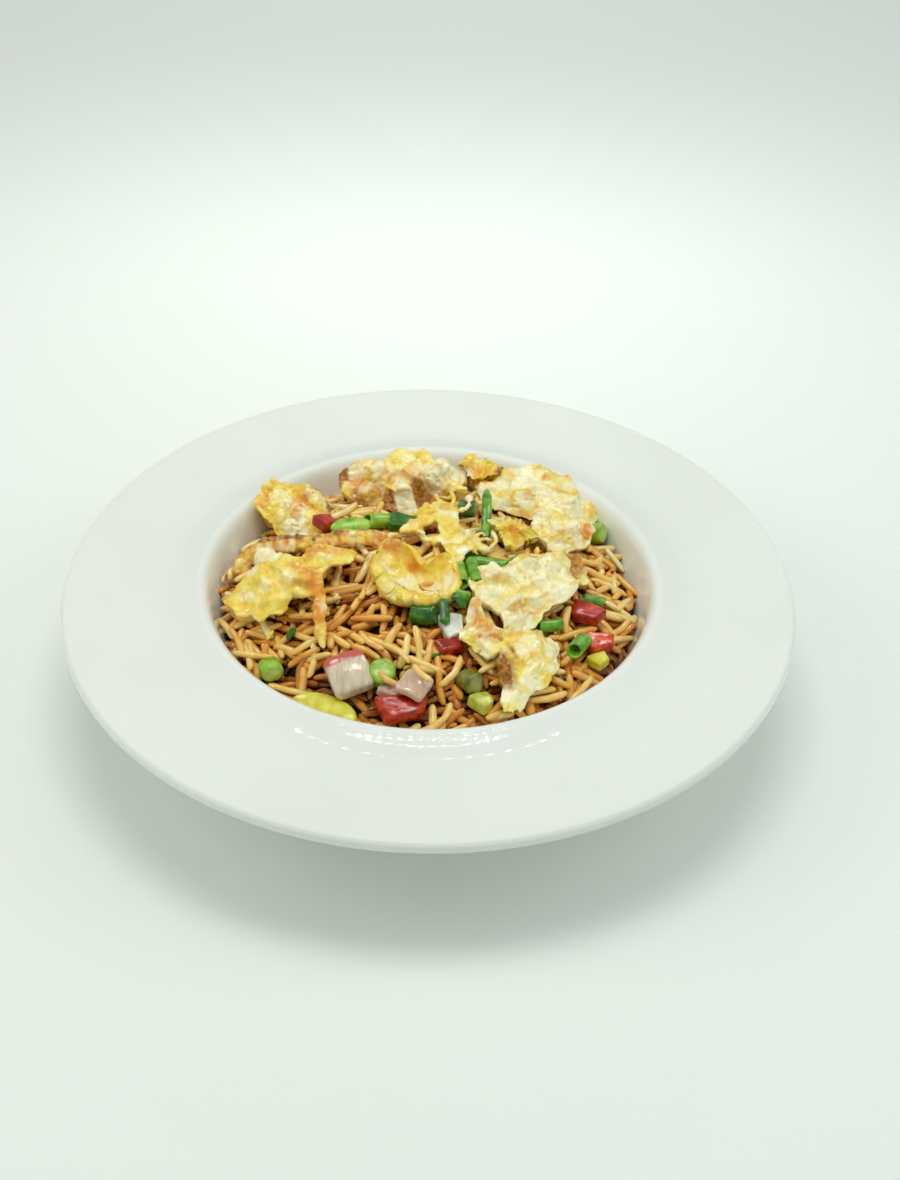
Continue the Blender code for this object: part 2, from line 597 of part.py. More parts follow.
def make_eggs():
    """Torn pieces of fried egg, from the lowest to the topmost."""
    back_left = make_egg_sheet(
        "egg_back_left", YOLK, centre=(-56, 40), half=(17, 13), turn=116, lift=8.4, crown=2.2,
        lobes=[(2, 0.08, 20), (3, 0.10, 15), (5, 0.05, 60)], slope=(-0.30, 0.42), rumple=0.8,
        curls=[(300, 26, 3.0, 0.10)], thick=5.0, heart=0.8)
    back_middle = make_egg_sheet(
        "egg_back_middle", WHITE, centre=(-11, 58), half=(26, 15), turn=-2, lift=8.6, crown=3.0,
        lobes=[(2, 0.05, 0), (3, 0.06, 40), (4, 0.06, 10), (5, 0.05, 80)], slope=(0.0, 0.46), rumple=1.2,
        curls=[(160, 18, 6.0, 0.06), (90, 20, 2.5, 0.05)], thick=5.0, spokes=16, rings=4, heart=0.8)
    back_small = make_egg_sheet(
        "egg_back_small", WHITE, centre=(20.3, 67), half=(9, 5.5), turn=-8, lift=12.0, crown=1.5,
        lobes=[(3, 0.16, 20), (4, 0.08, 0)], slope=(0.1, 0.5), rumple=0.6,
        curls=[(85, 40, 2.0, 0.1)], thick=4.5, spokes=10, heart=0.7)
    back_right = make_egg_sheet(
        "egg_back_right", WHITE, centre=(45.6, 52.5), half=(24.5, 15.5), turn=-33, lift=8.6, crown=3.0,
        lobes=[(2, 0.05, 30), (3, 0.08, 100), (5, 0.05, 20)], slope=(0.06, 0.38), rumple=1.0,
        curls=[(110, 35, 2.0, 0.08)], thick=5.5, rings=4, heart=0.8)
    right_fold = make_egg_sheet(
        "egg_right_fold", YOLK, centre=(53, 26), half=(13.5, 12), turn=15, lift=6.0, crown=3.2,
        lobes=[(2, 0.05, 70), (3, 0.09, 10)], slope=(0.06, 0.10), rumple=0.8,
        curls=[(350, 40, 2.0, 0.10)], thick=4.5, heart=0.6)
    crumbs = make_egg_sheet(
        "egg_crumbs", YOLK, centre=(33, 20), half=(9.5, 7), turn=-20, lift=4.6, crown=1.5,
        lobes=[(3, 0.18, 40), (4, 0.12, 10)], slope=(0, 0.05), rumple=0.9,
        curls=[(180, 30, 1.5, 0.1)], thick=3.6, spokes=10)
    brown_chunk = make_egg_sheet(
        "egg_brown_chunk", CRUST, centre=(56, 1.5), half=(8.5, 5), turn=112, lift=5.4, crown=1.8,
        lobes=[(2, 0.08, 0), (3, 0.10, 50)], slope=(0.0, 0.0), rumple=0.6,
        curls=[(0, 40, 1.5, 0.1)], thick=4.6, spokes=10, rings=2)
    right_lower = make_egg_sheet(
        "egg_right_lower", YOLK, centre=(35, -54), half=(18, 10), turn=74, lift=5.2, crown=3.0,
        lobes=[(1, 0.10, 0), (3, 0.08, 60)], slope=(0.0, -0.02), rumple=0.6,
        curls=[(95, 35, 3.0, 0.12)], thick=4.2, heart=0.5)
    centre_fold = make_egg_sheet(
        "egg_centre_fold", YOLK, centre=(-6, -12.5), half=(18.5, 15), turn=128, lift=5.4, crown=-2.0,
        lobes=[(2, 0.06, 20), (3, 0.05, 90)], slope=(-0.03, 0.03), rumple=0.4,
        curls=[(350, 34, 6.0, 0.12), (55, 30, 4.0, 0.08), (180, 40, 3.5, 0.10), (260, 40, 3.5, 0.10)],
        thick=3.6, spokes=16)
    strip_stops = [
        (-81, 4.6, 2.6), (-74.5, 11.5, 3.8), (-67, 15.5, 5.0), (-57, 16, 5.6),
        (-45, 12, 5.6), (-32, 10, 5.4), (-20, 11.5, 5.0), (-12.5, 13.5, 4.6)]
    strip = make_ribbon("egg_strip", CRUST, strip_stops, 11.5, 4.0, 48, 11)
    return [
        back_left, back_middle, back_small, back_right, crumbs, right_fold, brown_chunk, right_lower,
        make_right_egg(), make_web(), centre_fold, strip, make_left_egg()]


def main():
    clear_scene()
    plate = make_plate()
    rice = make_rice()
    toppings = make_vegetables() + make_eggs()
    carve_in_order([rice] + toppings)
    carve_in_order(toppings + [plate])


main()
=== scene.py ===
# %% [markdown]
# # A plate of fried rice
# A wide-rimmed porcelain plate with a deep well, a heap of long-grain rice in it, torn fried egg and
# cut vegetables on top. The solids are loaded first as a fixed frame. Each visible thing is then
# made again as a fine surface worked out with numpy, in the same place.
# %% Load the frame
import bpy
import numpy as np
from mathutils import Euler, Matrix, Vector
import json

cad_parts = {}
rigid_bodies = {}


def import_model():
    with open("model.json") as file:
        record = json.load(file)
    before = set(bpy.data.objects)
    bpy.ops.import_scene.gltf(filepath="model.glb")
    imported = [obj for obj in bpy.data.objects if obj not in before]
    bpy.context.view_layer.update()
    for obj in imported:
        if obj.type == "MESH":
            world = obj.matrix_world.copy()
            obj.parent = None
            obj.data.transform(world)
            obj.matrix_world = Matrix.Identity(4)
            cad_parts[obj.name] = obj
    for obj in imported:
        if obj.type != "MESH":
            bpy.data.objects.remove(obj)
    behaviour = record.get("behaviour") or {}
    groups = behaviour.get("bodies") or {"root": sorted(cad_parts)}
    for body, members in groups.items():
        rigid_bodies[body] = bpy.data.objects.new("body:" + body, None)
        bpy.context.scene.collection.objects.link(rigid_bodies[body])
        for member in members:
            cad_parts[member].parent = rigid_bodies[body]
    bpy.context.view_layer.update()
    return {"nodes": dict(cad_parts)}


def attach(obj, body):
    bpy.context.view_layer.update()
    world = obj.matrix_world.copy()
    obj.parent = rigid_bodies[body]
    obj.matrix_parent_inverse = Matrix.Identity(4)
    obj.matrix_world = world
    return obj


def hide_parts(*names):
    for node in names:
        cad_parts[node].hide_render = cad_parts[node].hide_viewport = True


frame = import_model()
MM = 0.001

# %% [markdown]
# Food has no smooth surfaces. Most shapes below get their lumps from one random field: random values
# on a lattice, blended smoothly in between. Adding the field at half the size and half the strength,
# again and again, gives lumps on lumps.
# %% Smooth random fields
SCRAMBLE = (374761393, 668265263, 1440662683, 1274126177)  # odd numbers for x, y, z and the seed


def lattice(cell, seed):
    """A fixed random number from 0 to 1 for each whole-number cell, made by scrambling its bits."""
    n = sum(cell[..., k] * SCRAMBLE[k] for k in range(3)) + seed * SCRAMBLE[3]
    n = (n ^ (n >> 13)) & 0xFFFFFFFF
    n = (n * SCRAMBLE[3]) & 0xFFFFFFFF
    return ((n ^ (n >> 16)) & 0xFFFF) / 65535.0


def noise(points, size, seed=0):
    """Field from -1 to 1: the eight lattice values round a point, mixed with eased weights."""
    scaled = np.asarray(points, float) / size
    cell = np.floor(scaled).astype(np.int64)
    part = scaled - cell
    part = part * part * (3 - 2 * part)
    total = np.zeros(scaled.shape[:-1])
    for corner in np.ndindex(2, 2, 2):
        weight = np.prod(np.where(np.array(corner) == 1, part, 1 - part), axis=-1)
        total += weight * lattice(cell + np.array(corner), seed)
    return 2 * total - 1


def cloud(points, size, octaves=3, seed=0):
    """Noise on noise: each octave has half the size and half the strength of the one before."""
    return sum(noise(points, size / 2 ** k, seed + 17 * k) / 2 ** k for k in range(octaves))


def flat_points(x, y):
    """Points in the plane as rows of three, for a field that depends on x and y alone."""
    return np.stack([x, y, np.zeros_like(x)], axis=-1)


def soft_power(value, power):
    """A value raised to a power with its sign kept, which squares off the waves of a sine."""
    return np.sign(value) * np.abs(value) ** power


print("cloud at one place:", round(float(cloud(np.array([1.3, 0.4, 2.6]), 1.0)), 3))

# %% [markdown]
# Every skin here is a grid of points. A helper turns grids into faces, and another puts points,
# faces and painted values into one mesh. Painted values, such as how browned the egg is, ride on the
# mesh as attributes, and the materials read them.
# %% From grids to meshes


def grid_faces(rows, columns):
    """Four-cornered faces of a grid whose columns close on themselves."""
    row, column = np.meshgrid(np.arange(rows - 1), np.arange(columns), indexing="ij")
    after = (column + 1) % columns
    corners = [row * columns + column, row * columns + after, (row + 1) * columns + after,
               (row + 1) * columns + column]
    return np.stack(corners, axis=-1).reshape(-1, 4)


def skin_faces(count, around):
    """Faces of a closed skin: bands between its rings, and a fan of triangles at each tip."""
    here = np.arange(around)
    after = (here + 1) % around
    low = np.column_stack([np.full(around, count * around), after, here])
    base = (count - 1) * around
    high = np.column_stack([np.full(around, count * around + 1), base + here, base + after])
    return grid_faces(count, around), np.vstack([low, high])


def closed_skin(rings, first_tip, last_tip):
    """Rings of equal length with a tip at each end, as points, four-cornered faces and triangles."""
    rings = np.asarray(rings)
    points = np.vstack([rings.reshape(-1, 3), [first_tip], [last_tip]])
    return (points, *skin_faces(*rings.shape[:2]))


def outward(points, quads, triangles):
    """Turn all faces over when the volume they enclose is negative."""
    split = np.vstack([quads[:, [0, 1, 2]], quads[:, [0, 2, 3]], triangles])
    a, b, c = (points[split[:, k]] for k in range(3))
    if np.einsum("ij,ij->i", a, np.cross(b, c)).sum() < 0:
        return quads[:, ::-1], triangles[:, ::-1]
    return quads, triangles


def paint(piece, **values):
    """Write painted values, one number for each point of the piece."""
    for label, amounts in values.items():
        layer = piece.data.attributes.get(label) or piece.data.attributes.new(label, "FLOAT", "POINT")
        layer.data.foreach_set("value", np.asarray(amounts, np.float32))


def make_piece(name, skins, material, slot, stands_for=None, **painted):
    """One object from closed skins in millimetres, riding on the plate's body.

    Where it stands for a solid of the frame, that solid is hidden.
    """
    points, faces, start = [], [], 0
    for skin_points, quads, triangles in skins:
        quads, triangles = outward(skin_points, quads, triangles)
        faces += (quads + start).tolist() + (triangles + start).tolist()
        points.append(skin_points)
        start += len(skin_points)
    mesh = bpy.data.meshes.new(name)
    mesh.from_pydata((np.vstack(points) * MM).tolist(), [], faces)
    mesh.shade_smooth()
    mesh.materials.append(material)
    piece = bpy.data.objects.new(name, mesh)
    bpy.context.collection.objects.link(piece)
    paint(piece, **painted)
    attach(piece, "root")
    if stands_for:
        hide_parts(stands_for)
    return piece


def places(piece):
    """All vertex places of a piece in millimetres."""
    flat = np.empty(len(piece.data.vertices) * 3)
    piece.data.vertices.foreach_get("co", flat)
    return flat.reshape(-1, 3) / MM


print("a closed skin of 3 rings by 4 points:", sum(map(len, skin_faces(3, 4))), "faces")

# %% [markdown]
# A material is a small chain: a painted value or a noise pattern picks a colour from a ramp, and a
# finer noise gives the bump. Cooked food lets a little light in, so most finishes have some
# subsurface scattering. Colours are written as they look on a screen and turned into linear light.
# %% Helpers for materials


def linear(red, green, blue):
    """Screen colour from 0 to 255 turned into linear light."""
    value = np.array([red, green, blue]) / 255.0
    value = np.where(value <= 0.04045, value / 12.92, ((value + 0.055) / 1.055) ** 2.4)
    return (*[float(v) for v in value], 1.0)


class Finish:
    """A Principled material with short ways to add noise, ramps, painted values and bump."""

    def __init__(self, name, roughness, **sockets):
        self.material = bpy.data.materials.new(name)
        self.material.use_nodes = True
        self.tree = self.material.node_tree
        self.shader = self.tree.nodes["Principled BSDF"]
        self.shader.inputs["Roughness"].default_value = roughness
        for socket, value in sockets.items():
            self.shader.inputs[socket.replace("_", " ")].default_value = value
        self.place = self.tree.nodes.new("ShaderNodeTexCoord").outputs["Object"]

    def link(self, source, target):
        """Join an output to an input."""
        self.tree.links.new(source, target)

    def noise(self, scale, detail=3.0, stretch=(1, 1, 1)):
        """Noise whose lumps are about 1/scale metres wide; stretch pulls them along an axis."""
        mapping = self.tree.nodes.new("ShaderNodeMapping")
        mapping.inputs["Scale"].default_value = stretch
        self.link(self.place, mapping.inputs["Vector"])
        node = self.tree.nodes.new("ShaderNodeTexNoise")
        node.inputs["Scale"].default_value = scale
        node.inputs["Detail"].default_value = detail
        self.link(mapping.outputs["Vector"], node.inputs["Vector"])
        return node.outputs["Fac"]

    def centred(self, scale, detail, strength):
        """The same noise with its middle moved to zero, times a strength."""
        return self.maths("MULTIPLY", self.maths("SUBTRACT", self.noise(scale, detail), 0.5), strength)

    def painted(self, label):
        """A value painted on the mesh."""
        node = self.tree.nodes.new("ShaderNodeAttribute")
        node.attribute_name = label
        return node.outputs["Fac"]

    def maths(self, operation, first, second):
        """One sum of two values, each a number or an output."""
        node = self.tree.nodes.new("ShaderNodeMath")
        node.operation = operation
        for socket, value in zip(node.inputs, (first, second)):
            if isinstance(value, (int, float)):
                socket.default_value = value
            else:
                self.link(value, socket)
        return node.outputs["Value"]

    def ramp(self, source, *stops):
        """Colours picked by a value: each stop is its place from 0 to 1 and a screen colour."""
        node = self.tree.nodes.new("ShaderNodeValToRGB")
        elements = node.color_ramp.elements
        while len(elements) < len(stops):
            elements.new(0.5)
        for element, (place, colour) in zip(elements, stops):
            element.position = place
            element.color = linear(*colour)
        self.link(source, node.inputs["Fac"])
        return node.outputs["Color"]

    def mix(self, amount, first, second):
        """The first colour where the amount is 0 and the second where it is 1."""
        node = self.tree.nodes.new("ShaderNodeMix")
        node.data_type = "RGBA"
        node.clamp_factor = True
        self.link(amount, node.inputs[0])
        for socket, value in ((node.inputs[6], first), (node.inputs[7], second)):
            if isinstance(value, tuple):
                socket.default_value = linear(*value)
            else:
                self.link(value, socket)
        return node.outputs[2]

    def colour(self, source):
        """Give the shader its base colour."""
        self.link(source, self.shader.inputs["Base Color"])
        return self

    def bump(self, source, height_mm, strength=1.0):
        """Relief of a height in millimetres, too fine for the mesh."""
        node = self.tree.nodes.new("ShaderNodeBump")
        node.inputs["Distance"].default_value = height_mm * MM
        node.inputs["Strength"].default_value = strength
        self.link(source, node.inputs["Height"])
        self.link(node.outputs["Normal"], self.shader.inputs["Normal"])
        return self


print("screen grey 128 in linear light:", round(linear(128, 128, 128)[0], 3))

# %% [markdown]
# The camera looks down at the plate from the diner's side, about 38 degrees below the horizon. Two
# directions say how it is held: where it looks, and which way is up in the picture. The plain
# "Standard" view keeps the white of the porcelain clean.
# %% Camera
bpy.context.scene.view_settings.view_transform = "Standard"
CAMERA_PLACE = (0.0, -0.496613, 0.432366)
ahead = Vector((0.012595, 0.786354, -0.617648))
overhead = Vector((-0.013892, 0.617775, 0.786232))
across = ahead.cross(overhead)
lens = bpy.data.cameras.new("camera")
lens.sensor_width = 36.0
lens.lens = 49.6
camera = bpy.data.objects.new("camera", lens)
turned = Matrix((across, overhead, -ahead)).transposed().to_4x4()
camera.matrix_world = Matrix.Translation(CAMERA_PLACE) @ turned
bpy.context.collection.objects.link(camera)
bpy.context.scene.camera = camera
print("camera: looks down", round(np.degrees(np.arcsin(-ahead.z)), 1), "degrees")

# %% [markdown]
# The plate stands in a white light tent: a pale floor, even light from all round, one broad soft
# lamp straight above and a softer one at each side. Two lamps light the far floor. Glazed porcelain
# would mirror these lamps as big patches, so they are kept out of all reflections. Two rows of small
# lamps, above and behind, take their place there and leave rows of small highlights.
# %% Floor and light
FLOOR_REACH = 4.0
LIGHT_HEIGHT = 0.9
ROOF_WHITE = (0.99, 1.0, 0.97)
FAR_WHITE = (0.98, 1.0, 0.98)


def soft_lamp(name, place, target, width, height, power, colour):
    """A rectangular lamp at a place, aimed at a target; power in watts."""
    data = bpy.data.lights.new(name, "AREA")
    data.shape = "RECTANGLE"
    data.size = width
    data.size_y = height
    data.energy = power
    data.color = colour
    lamp = bpy.data.objects.new(name, data)
    lamp.location = place
    lamp.rotation_euler = (Vector(target) - Vector(place)).to_track_quat("-Z", "Y").to_euler()
    bpy.context.collection.objects.link(lamp)
    return lamp


floor_finish = Finish("pale_floor", 0.9)
floor_finish.colour(floor_finish.ramp(
    floor_finish.noise(3.0), (0.3, (243, 248, 244)), (0.7, (245, 249, 246))))
floor_mesh = bpy.data.meshes.new("floor")
floor_corners = [(x * FLOOR_REACH, y * FLOOR_REACH, 0) for x, y in ((-1, -1), (1, -1), (1, 1), (-1, 1))]
floor_mesh.from_pydata(floor_corners, [], [(0, 1, 2, 3)])
floor_mesh.materials.append(floor_finish.material)
floor = bpy.data.objects.new("floor", floor_mesh)
bpy.context.collection.objects.link(floor)

world = bpy.data.worlds.new("tent")
world.use_nodes = True
world.node_tree.nodes["Background"].inputs["Color"].default_value = (0.95, 1.0, 0.955, 1.0)
world.node_tree.nodes["Background"].inputs["Strength"].default_value = 0.455
bpy.context.scene.world = world
soft_lamp("roof", (0.0, -0.02, LIGHT_HEIGHT), (0.0, -0.02, 0.0), 0.5, 0.26, 2.30, ROOF_WHITE)
soft_lamp("far_wall", (0.0, 1.0, 0.6), (0.0, 0.95, 0.0), 0.6, 0.3, 0.75, FAR_WHITE)
pool = soft_lamp("pool", (0.0, 0.37, 0.5), (0.0, 0.37, 0.0), 0.4, 0.1, 0.12, FAR_WHITE)
pool.data.spread = np.radians(70)
soft_lamp("left_wall", (-0.8, -0.1, 0.7), (0, 0, 0.05), 0.6, 0.6, 1.75, (1.0, 0.97, 0.88))
soft_lamp("right_wall", (0.8, 0.0, 0.7), (0, 0, 0.05), 0.6, 0.6, 1.55, (0.95, 1.0, 0.98))
for item in bpy.data.objects:
    item.visible_glossy = item.type != "LIGHT"
for y, count, step, width in ((0.125, 18, 0.0268, 0.007), (0.287, 15, 0.041, 0.010)):
    for k in range(count):
        place = (step * (k - (count - 1) / 2), y, LIGHT_HEIGHT)
        soft_lamp("diode", place, (0, 0, 0), width, 0.009, 0.011, ROOF_WHITE)

# %% [markdown]
# The plate is turned, as on a potter's wheel. Its section is a list of radii and heights; a smooth
# curve through them is carried round the axis. The solid has forty sides, this one has hundreds.
# %% Plate
LIP_Z = 50.0
PLATE_RADIUS = 140.0
PLATE_AROUND = 288
WELL_FLOOR_Z = 8.0
UNDER_FLOOR_Z = 3.7


def smooth_path(stops, count):
    """A Catmull-Rom curve through the stops, read at evenly spaced fractions."""
    stops = np.asarray(stops, float)
    padded = np.vstack([2 * stops[0] - stops[1], stops, 2 * stops[-1] - stops[-2]])
    t = np.linspace(0, len(stops) - 1, count)
    k = np.minimum(t.astype(int), len(stops) - 2)
    f = (t - k)[:, None]
    a, b, c, d = (padded[k + i] for i in range(4))
    bend = (2 * a - 5 * b + 4 * c - d) * f ** 2
    return 0.5 * (2 * b + (c - a) * f + bend + (3 * b - a - 3 * c + d) * f ** 3)


well_profile = [
    (54, WELL_FLOOR_Z), (62, 10.5), (68, 15), (76, 25), (81.5, 38), (85, LIP_Z - 2.6), (88, LIP_Z)]
rim_profile = [
    (91, 49.45), (95.5, 48.15), (101, 47.0), (108, 46.75), (116, 47.3), (126, 48.0), (137.0, 48.6),
    (139.4, 48.0), (PLATE_RADIUS, 46.4), (138.6, 44.5), (118, 42.8), (98, 40.6), (90.5, 35), (83.5, 24),
    (74.5, 12.5), (61.6, 4), (60.2, 0.7)]
foot_profile = [(59.6, 0), (55.2, 0), (54.4, 0.8), (53.5, 3.4)]


def lathe(profile, around):
    """Carry a profile of radii and heights once round the axis."""
    angle = 2 * np.pi * np.arange(around) / around
    radius, height = np.asarray(profile).T
    x = radius[:, None] * np.cos(angle)
    y = radius[:, None] * np.sin(angle)
    return np.stack([x, y, np.broadcast_to(height[:, None], x.shape)], axis=-1)


section = np.vstack([smooth_path([(44, WELL_FLOOR_Z)] + well_profile + rim_profile, 150), foot_profile])
section[:, 0] = np.minimum(section[:, 0], PLATE_RADIUS)
section[:, 1] = np.clip(section[:, 1], 0.0, LIP_Z)
plate_skin = closed_skin(lathe(section, PLATE_AROUND), (0, 0, WELL_FLOOR_Z), (0, 0, UNDER_FLOOR_Z))
porcelain = Finish("white_porcelain", 0.06, Specular_IOR_Level=0.5, Coat_Weight=0.3, Coat_Roughness=0.02)
porcelain.colour(porcelain.ramp(porcelain.noise(14.0), (0.35, (235, 239, 233)), (0.65, (239, 243, 238))))
porcelain.bump(porcelain.noise(20.0, 0.0), 0.05)
plate = make_piece("porcelain_plate", [plate_skin], porcelain.material, "porcelain", "plate")
print("plate:", len(plate.data.polygons), "faces")

# %% [markdown]
# The heap of rice is one uneven dome. Its top is the ground on which all the rest lies, so its
# height is a function that every later piece calls.
# %% Ground of the heap
HEAP_RADIUS = 82.0
HEAP_EDGE_Z = 37.5
HEAP_RISE = 16.5
CORE_SINK = 7.0
CORE_GAP = 0.4
CORE_AROUND = 120


def knobs(x, y):
    """Uneven ground: five crossed waves from 17 to 45 mm long."""
    total = np.zeros_like(x)
    for k in range(5):
        wave = 2 * np.pi / (17.0 + 7.0 * k)
        heading = 0.9 + 1.35 * k
        total = total + np.sin(wave * (x * np.cos(heading) + y * np.sin(heading)) + 1.7 * k)
    return 0.7 * total


def rice_height(x, y):
    """Top of the heap: a broad dome that falls to the wall of the well, with knobs on it."""
    x, y = np.asarray(x, float), np.asarray(y, float)
    out = np.clip(np.hypot(x, y) / HEAP_RADIUS, 0, 1)
    return HEAP_EDGE_Z + HEAP_RISE * (1 - out ** 2.4) + knobs(x, y) * (1 - 0.35 * out)


def well_radius(z):
    """Inside radius of the well at a height."""
    radius, height = np.array(well_profile, float).T
    return np.interp(z, height, radius)


def dark_core():
    """Filling under the grains: the heap's own dome, sunk by several millimetres."""
    angle = 2 * np.pi * np.arange(CORE_AROUND) / CORE_AROUND
    low = lathe([(radius - CORE_GAP, z + CORE_GAP) for radius, z in well_profile[:4]], CORE_AROUND)
    share = np.linspace(0.995, 0.03, 60)[:, None]
    x = share * HEAP_RADIUS * np.cos(angle)
    y = share * HEAP_RADIUS * np.sin(angle)
    z = rice_height(x, y) - CORE_SINK + 1.2 * cloud(flat_points(x, y), 6.0, 2)
    squeeze = np.minimum(1.0, (well_radius(z) - CORE_GAP) / np.hypot(x, y))
    top = np.stack([x * squeeze, y * squeeze, z], axis=-1)
    return closed_skin(np.vstack([low, top]), (0, 0, WELL_FLOOR_Z + CORE_GAP),
                       (0, 0, float(rice_height(0, 0)) - CORE_SINK))


# The core is dark sauce colour, and it also stands for the shade in the gaps between the grains: painted
# shade.
core_finish = Finish("sauce_dark_gaps", 0.5)
core_finish.colour(core_finish.ramp(core_finish.noise(300.0), (0.3, (38, 14, 4)), (0.7, (84, 36, 10))))
core = make_piece("rice_core", [dark_core()], core_finish.material, "rice", "rice_heap")
print("core: top", round(float(places(core)[:, 2].max()), 1), "mm")

# %% [markdown]
# Each grain must lie on what is below it. Toppings come first: their undersides are read from the
# solids, so that no grain is laid where a topping sits. Then grains fall one by one onto a map of
# heights. A grain rests on the highest spot under each of its halves, which also tilts it.
# %% Where grains may lie
CELL = 0.5
REACH = 86.0
SIDE = int(2 * REACH / CELL)


def cells(x, y):
    """Row and column of the map of heights for places in millimetres."""
    column = np.clip(((x + REACH) / CELL).astype(int), 0, SIDE - 1)
    row = np.clip(((y + REACH) / CELL).astype(int), 0, SIDE - 1)
    return column, row


def read_surface(names):
    """Lowest place of the named solids over every cell, sampled all over their triangles."""
    found = np.full((SIDE, SIDE), np.inf)
    steps = np.linspace(0, 1, 13)
    spread = np.array([(i, j) for i in steps for j in steps if i + j <= 1.001])
    for name in names:
        solid = frame["nodes"][name]
        solid.data.calc_loop_triangles()
        numbers = np.empty(len(solid.data.loop_triangles) * 3, np.int32)
        solid.data.loop_triangles.foreach_get("vertices", numbers)
        a, b, c = places(solid)[numbers].reshape(-1, 3, 3).transpose(1, 0, 2)
        sample = a[:, None] + spread[:, :1] * (b - a)[:, None] + spread[:, 1:] * (c - a)[:, None]
        sample = sample.reshape(-1, 3)
        cell = cells(sample[:, 0], sample[:, 1])
        np.minimum.at(found, cell, sample[:, 2])
    return found


print("map of heights:", SIDE, "by", SIDE, "cells of", CELL, "mm")



# %% [markdown]
# Two ceilings limit the grains. The first is the ground of the heap with soft clumps on it, and the
# second is a little higher, for the loose grains that stick out. Neither reaches a topping. Grains
# that lie side by side point roughly the same way, which a slowly changing direction gives.
# %% Limits and directions
CLUMP_HEIGHT = 2.2
LOOSE_RISE = 3.2
TOPPING_GAP = 0.2
toppings = [name for name in frame["nodes"] if name not in ("plate", "rice_heap")]
underside = read_surface(toppings)
centres = (np.arange(SIDE) + 0.5) * CELL - REACH
map_x, map_y = np.meshgrid(centres, centres, indexing="ij")
clumps = CLUMP_HEIGHT * cloud(flat_points(map_x, map_y), 15.0, 2, 21)
ceiling = np.minimum(rice_height(map_x, map_y) + clumps, underside - TOPPING_GAP)
high_ceiling = np.minimum(ceiling + LOOSE_RISE, underside - TOPPING_GAP)
drift = np.pi * cloud(flat_points(map_x, map_y), 20.0, 2, 31)
covered = np.isfinite(underside)
print("toppings:", len(toppings), "solids cover", round(100 * covered.mean()), "% of the map")

# %% [markdown]
# Real rice falls from a spoon and settles. A physics run of thousands of grains would take long, so
# each grain is laid by a rule. It starts at a random place, leans on what is already there, and is
# kept if it stays under the limit. The map of heights then rises under it, so the next grain lies
# on top. Grains are cooked long rice, about 14 mm by 3 mm.
# %% Grains fall into place
GRAIN_THICK, THICK_SPREAD = 3.05, 0.25
HEAP_LENGTH, TOP_LENGTH, LENGTH_SPREAD = 14.0, 15.0, 1.8
HEAP_TRIES, TOP_TRIES = 13000, 4200
START_RADIUS, END_RADIUS = 81.0, 82.5
STEEPEST = 0.9
rng = np.random.default_rng(11)
surface = rice_height(map_x, map_y) - CORE_SINK


def cell_at(x, y):
    """The one cell of a place."""
    return cells(np.array([x]), np.array([y]))


def drop_grains(tries, limit, mean_length):
    """Lay grains one by one: place, heading and pitch, and keep those that stay under a limit."""
    laid = []
    for _ in range(tries):
        length = rng.normal(mean_length, LENGTH_SPREAD)
        thick = rng.normal(GRAIN_THICK, THICK_SPREAD)
        radius = START_RADIUS * np.sqrt(rng.random())
        bearing = rng.random() * 2 * np.pi
        x, y = radius * np.cos(bearing), radius * np.sin(bearing)
        heading = float(drift[cell_at(x, y)][0]) + rng.normal(0, 0.7)
        step = np.linspace(-0.46, 0.46, 9) * length
        px, py = x + step * np.cos(heading), y + step * np.sin(heading)
        if np.hypot(px, py).max() > END_RADIUS:
            continue
        cell = cells(px, py)
        ground = surface[cell]
        left, right = int(np.argmax(ground[:4])), 5 + int(np.argmax(ground[5:]))
        pitch = (ground[right] - ground[left]) / (step[right] - step[left])
        pitch = float(np.clip(pitch + rng.normal(0, 0.3), -STEEPEST, STEEPEST))
        line = ground[left] + pitch * (step - step[left])
        line = line + max(0.0, float((ground - line).max()) - 0.5)
        top = line + 0.85 * thick
        if (top > limit[cell]).any():
            continue
        for offset in (-0.9, -0.45, 0.0, 0.45, 0.9):
            qx, qy = px - offset * np.sin(heading), py + offset * np.cos(heading)
            spot = cells(qx, qy)
            surface[spot] = np.maximum(surface[spot], top - 0.35 * abs(offset) * thick * 0.5)
        laid.append((x, y, line[4] + 0.45 * thick, heading, np.arctan(pitch), length, thick))
    return np.array(laid)


heap_grains = drop_grains(HEAP_TRIES, ceiling, HEAP_LENGTH)
top_grains = drop_grains(TOP_TRIES, high_ceiling, TOP_LENGTH)
grains = np.vstack([heap_grains, top_grains])
print("grains:", len(heap_grains), "in the heap and", len(top_grains), "on top")

# %% [markdown]
# One grain is a spindle: its thickness swells quickly from a blunt tip and stays nearly even. It
# bends a little and is flatter than it is wide. All grains are worked out together, as one array
# of grains by rings by points, with a few dozen faces for each.
# %% The shape of a grain
AROUND_GRAIN = 6


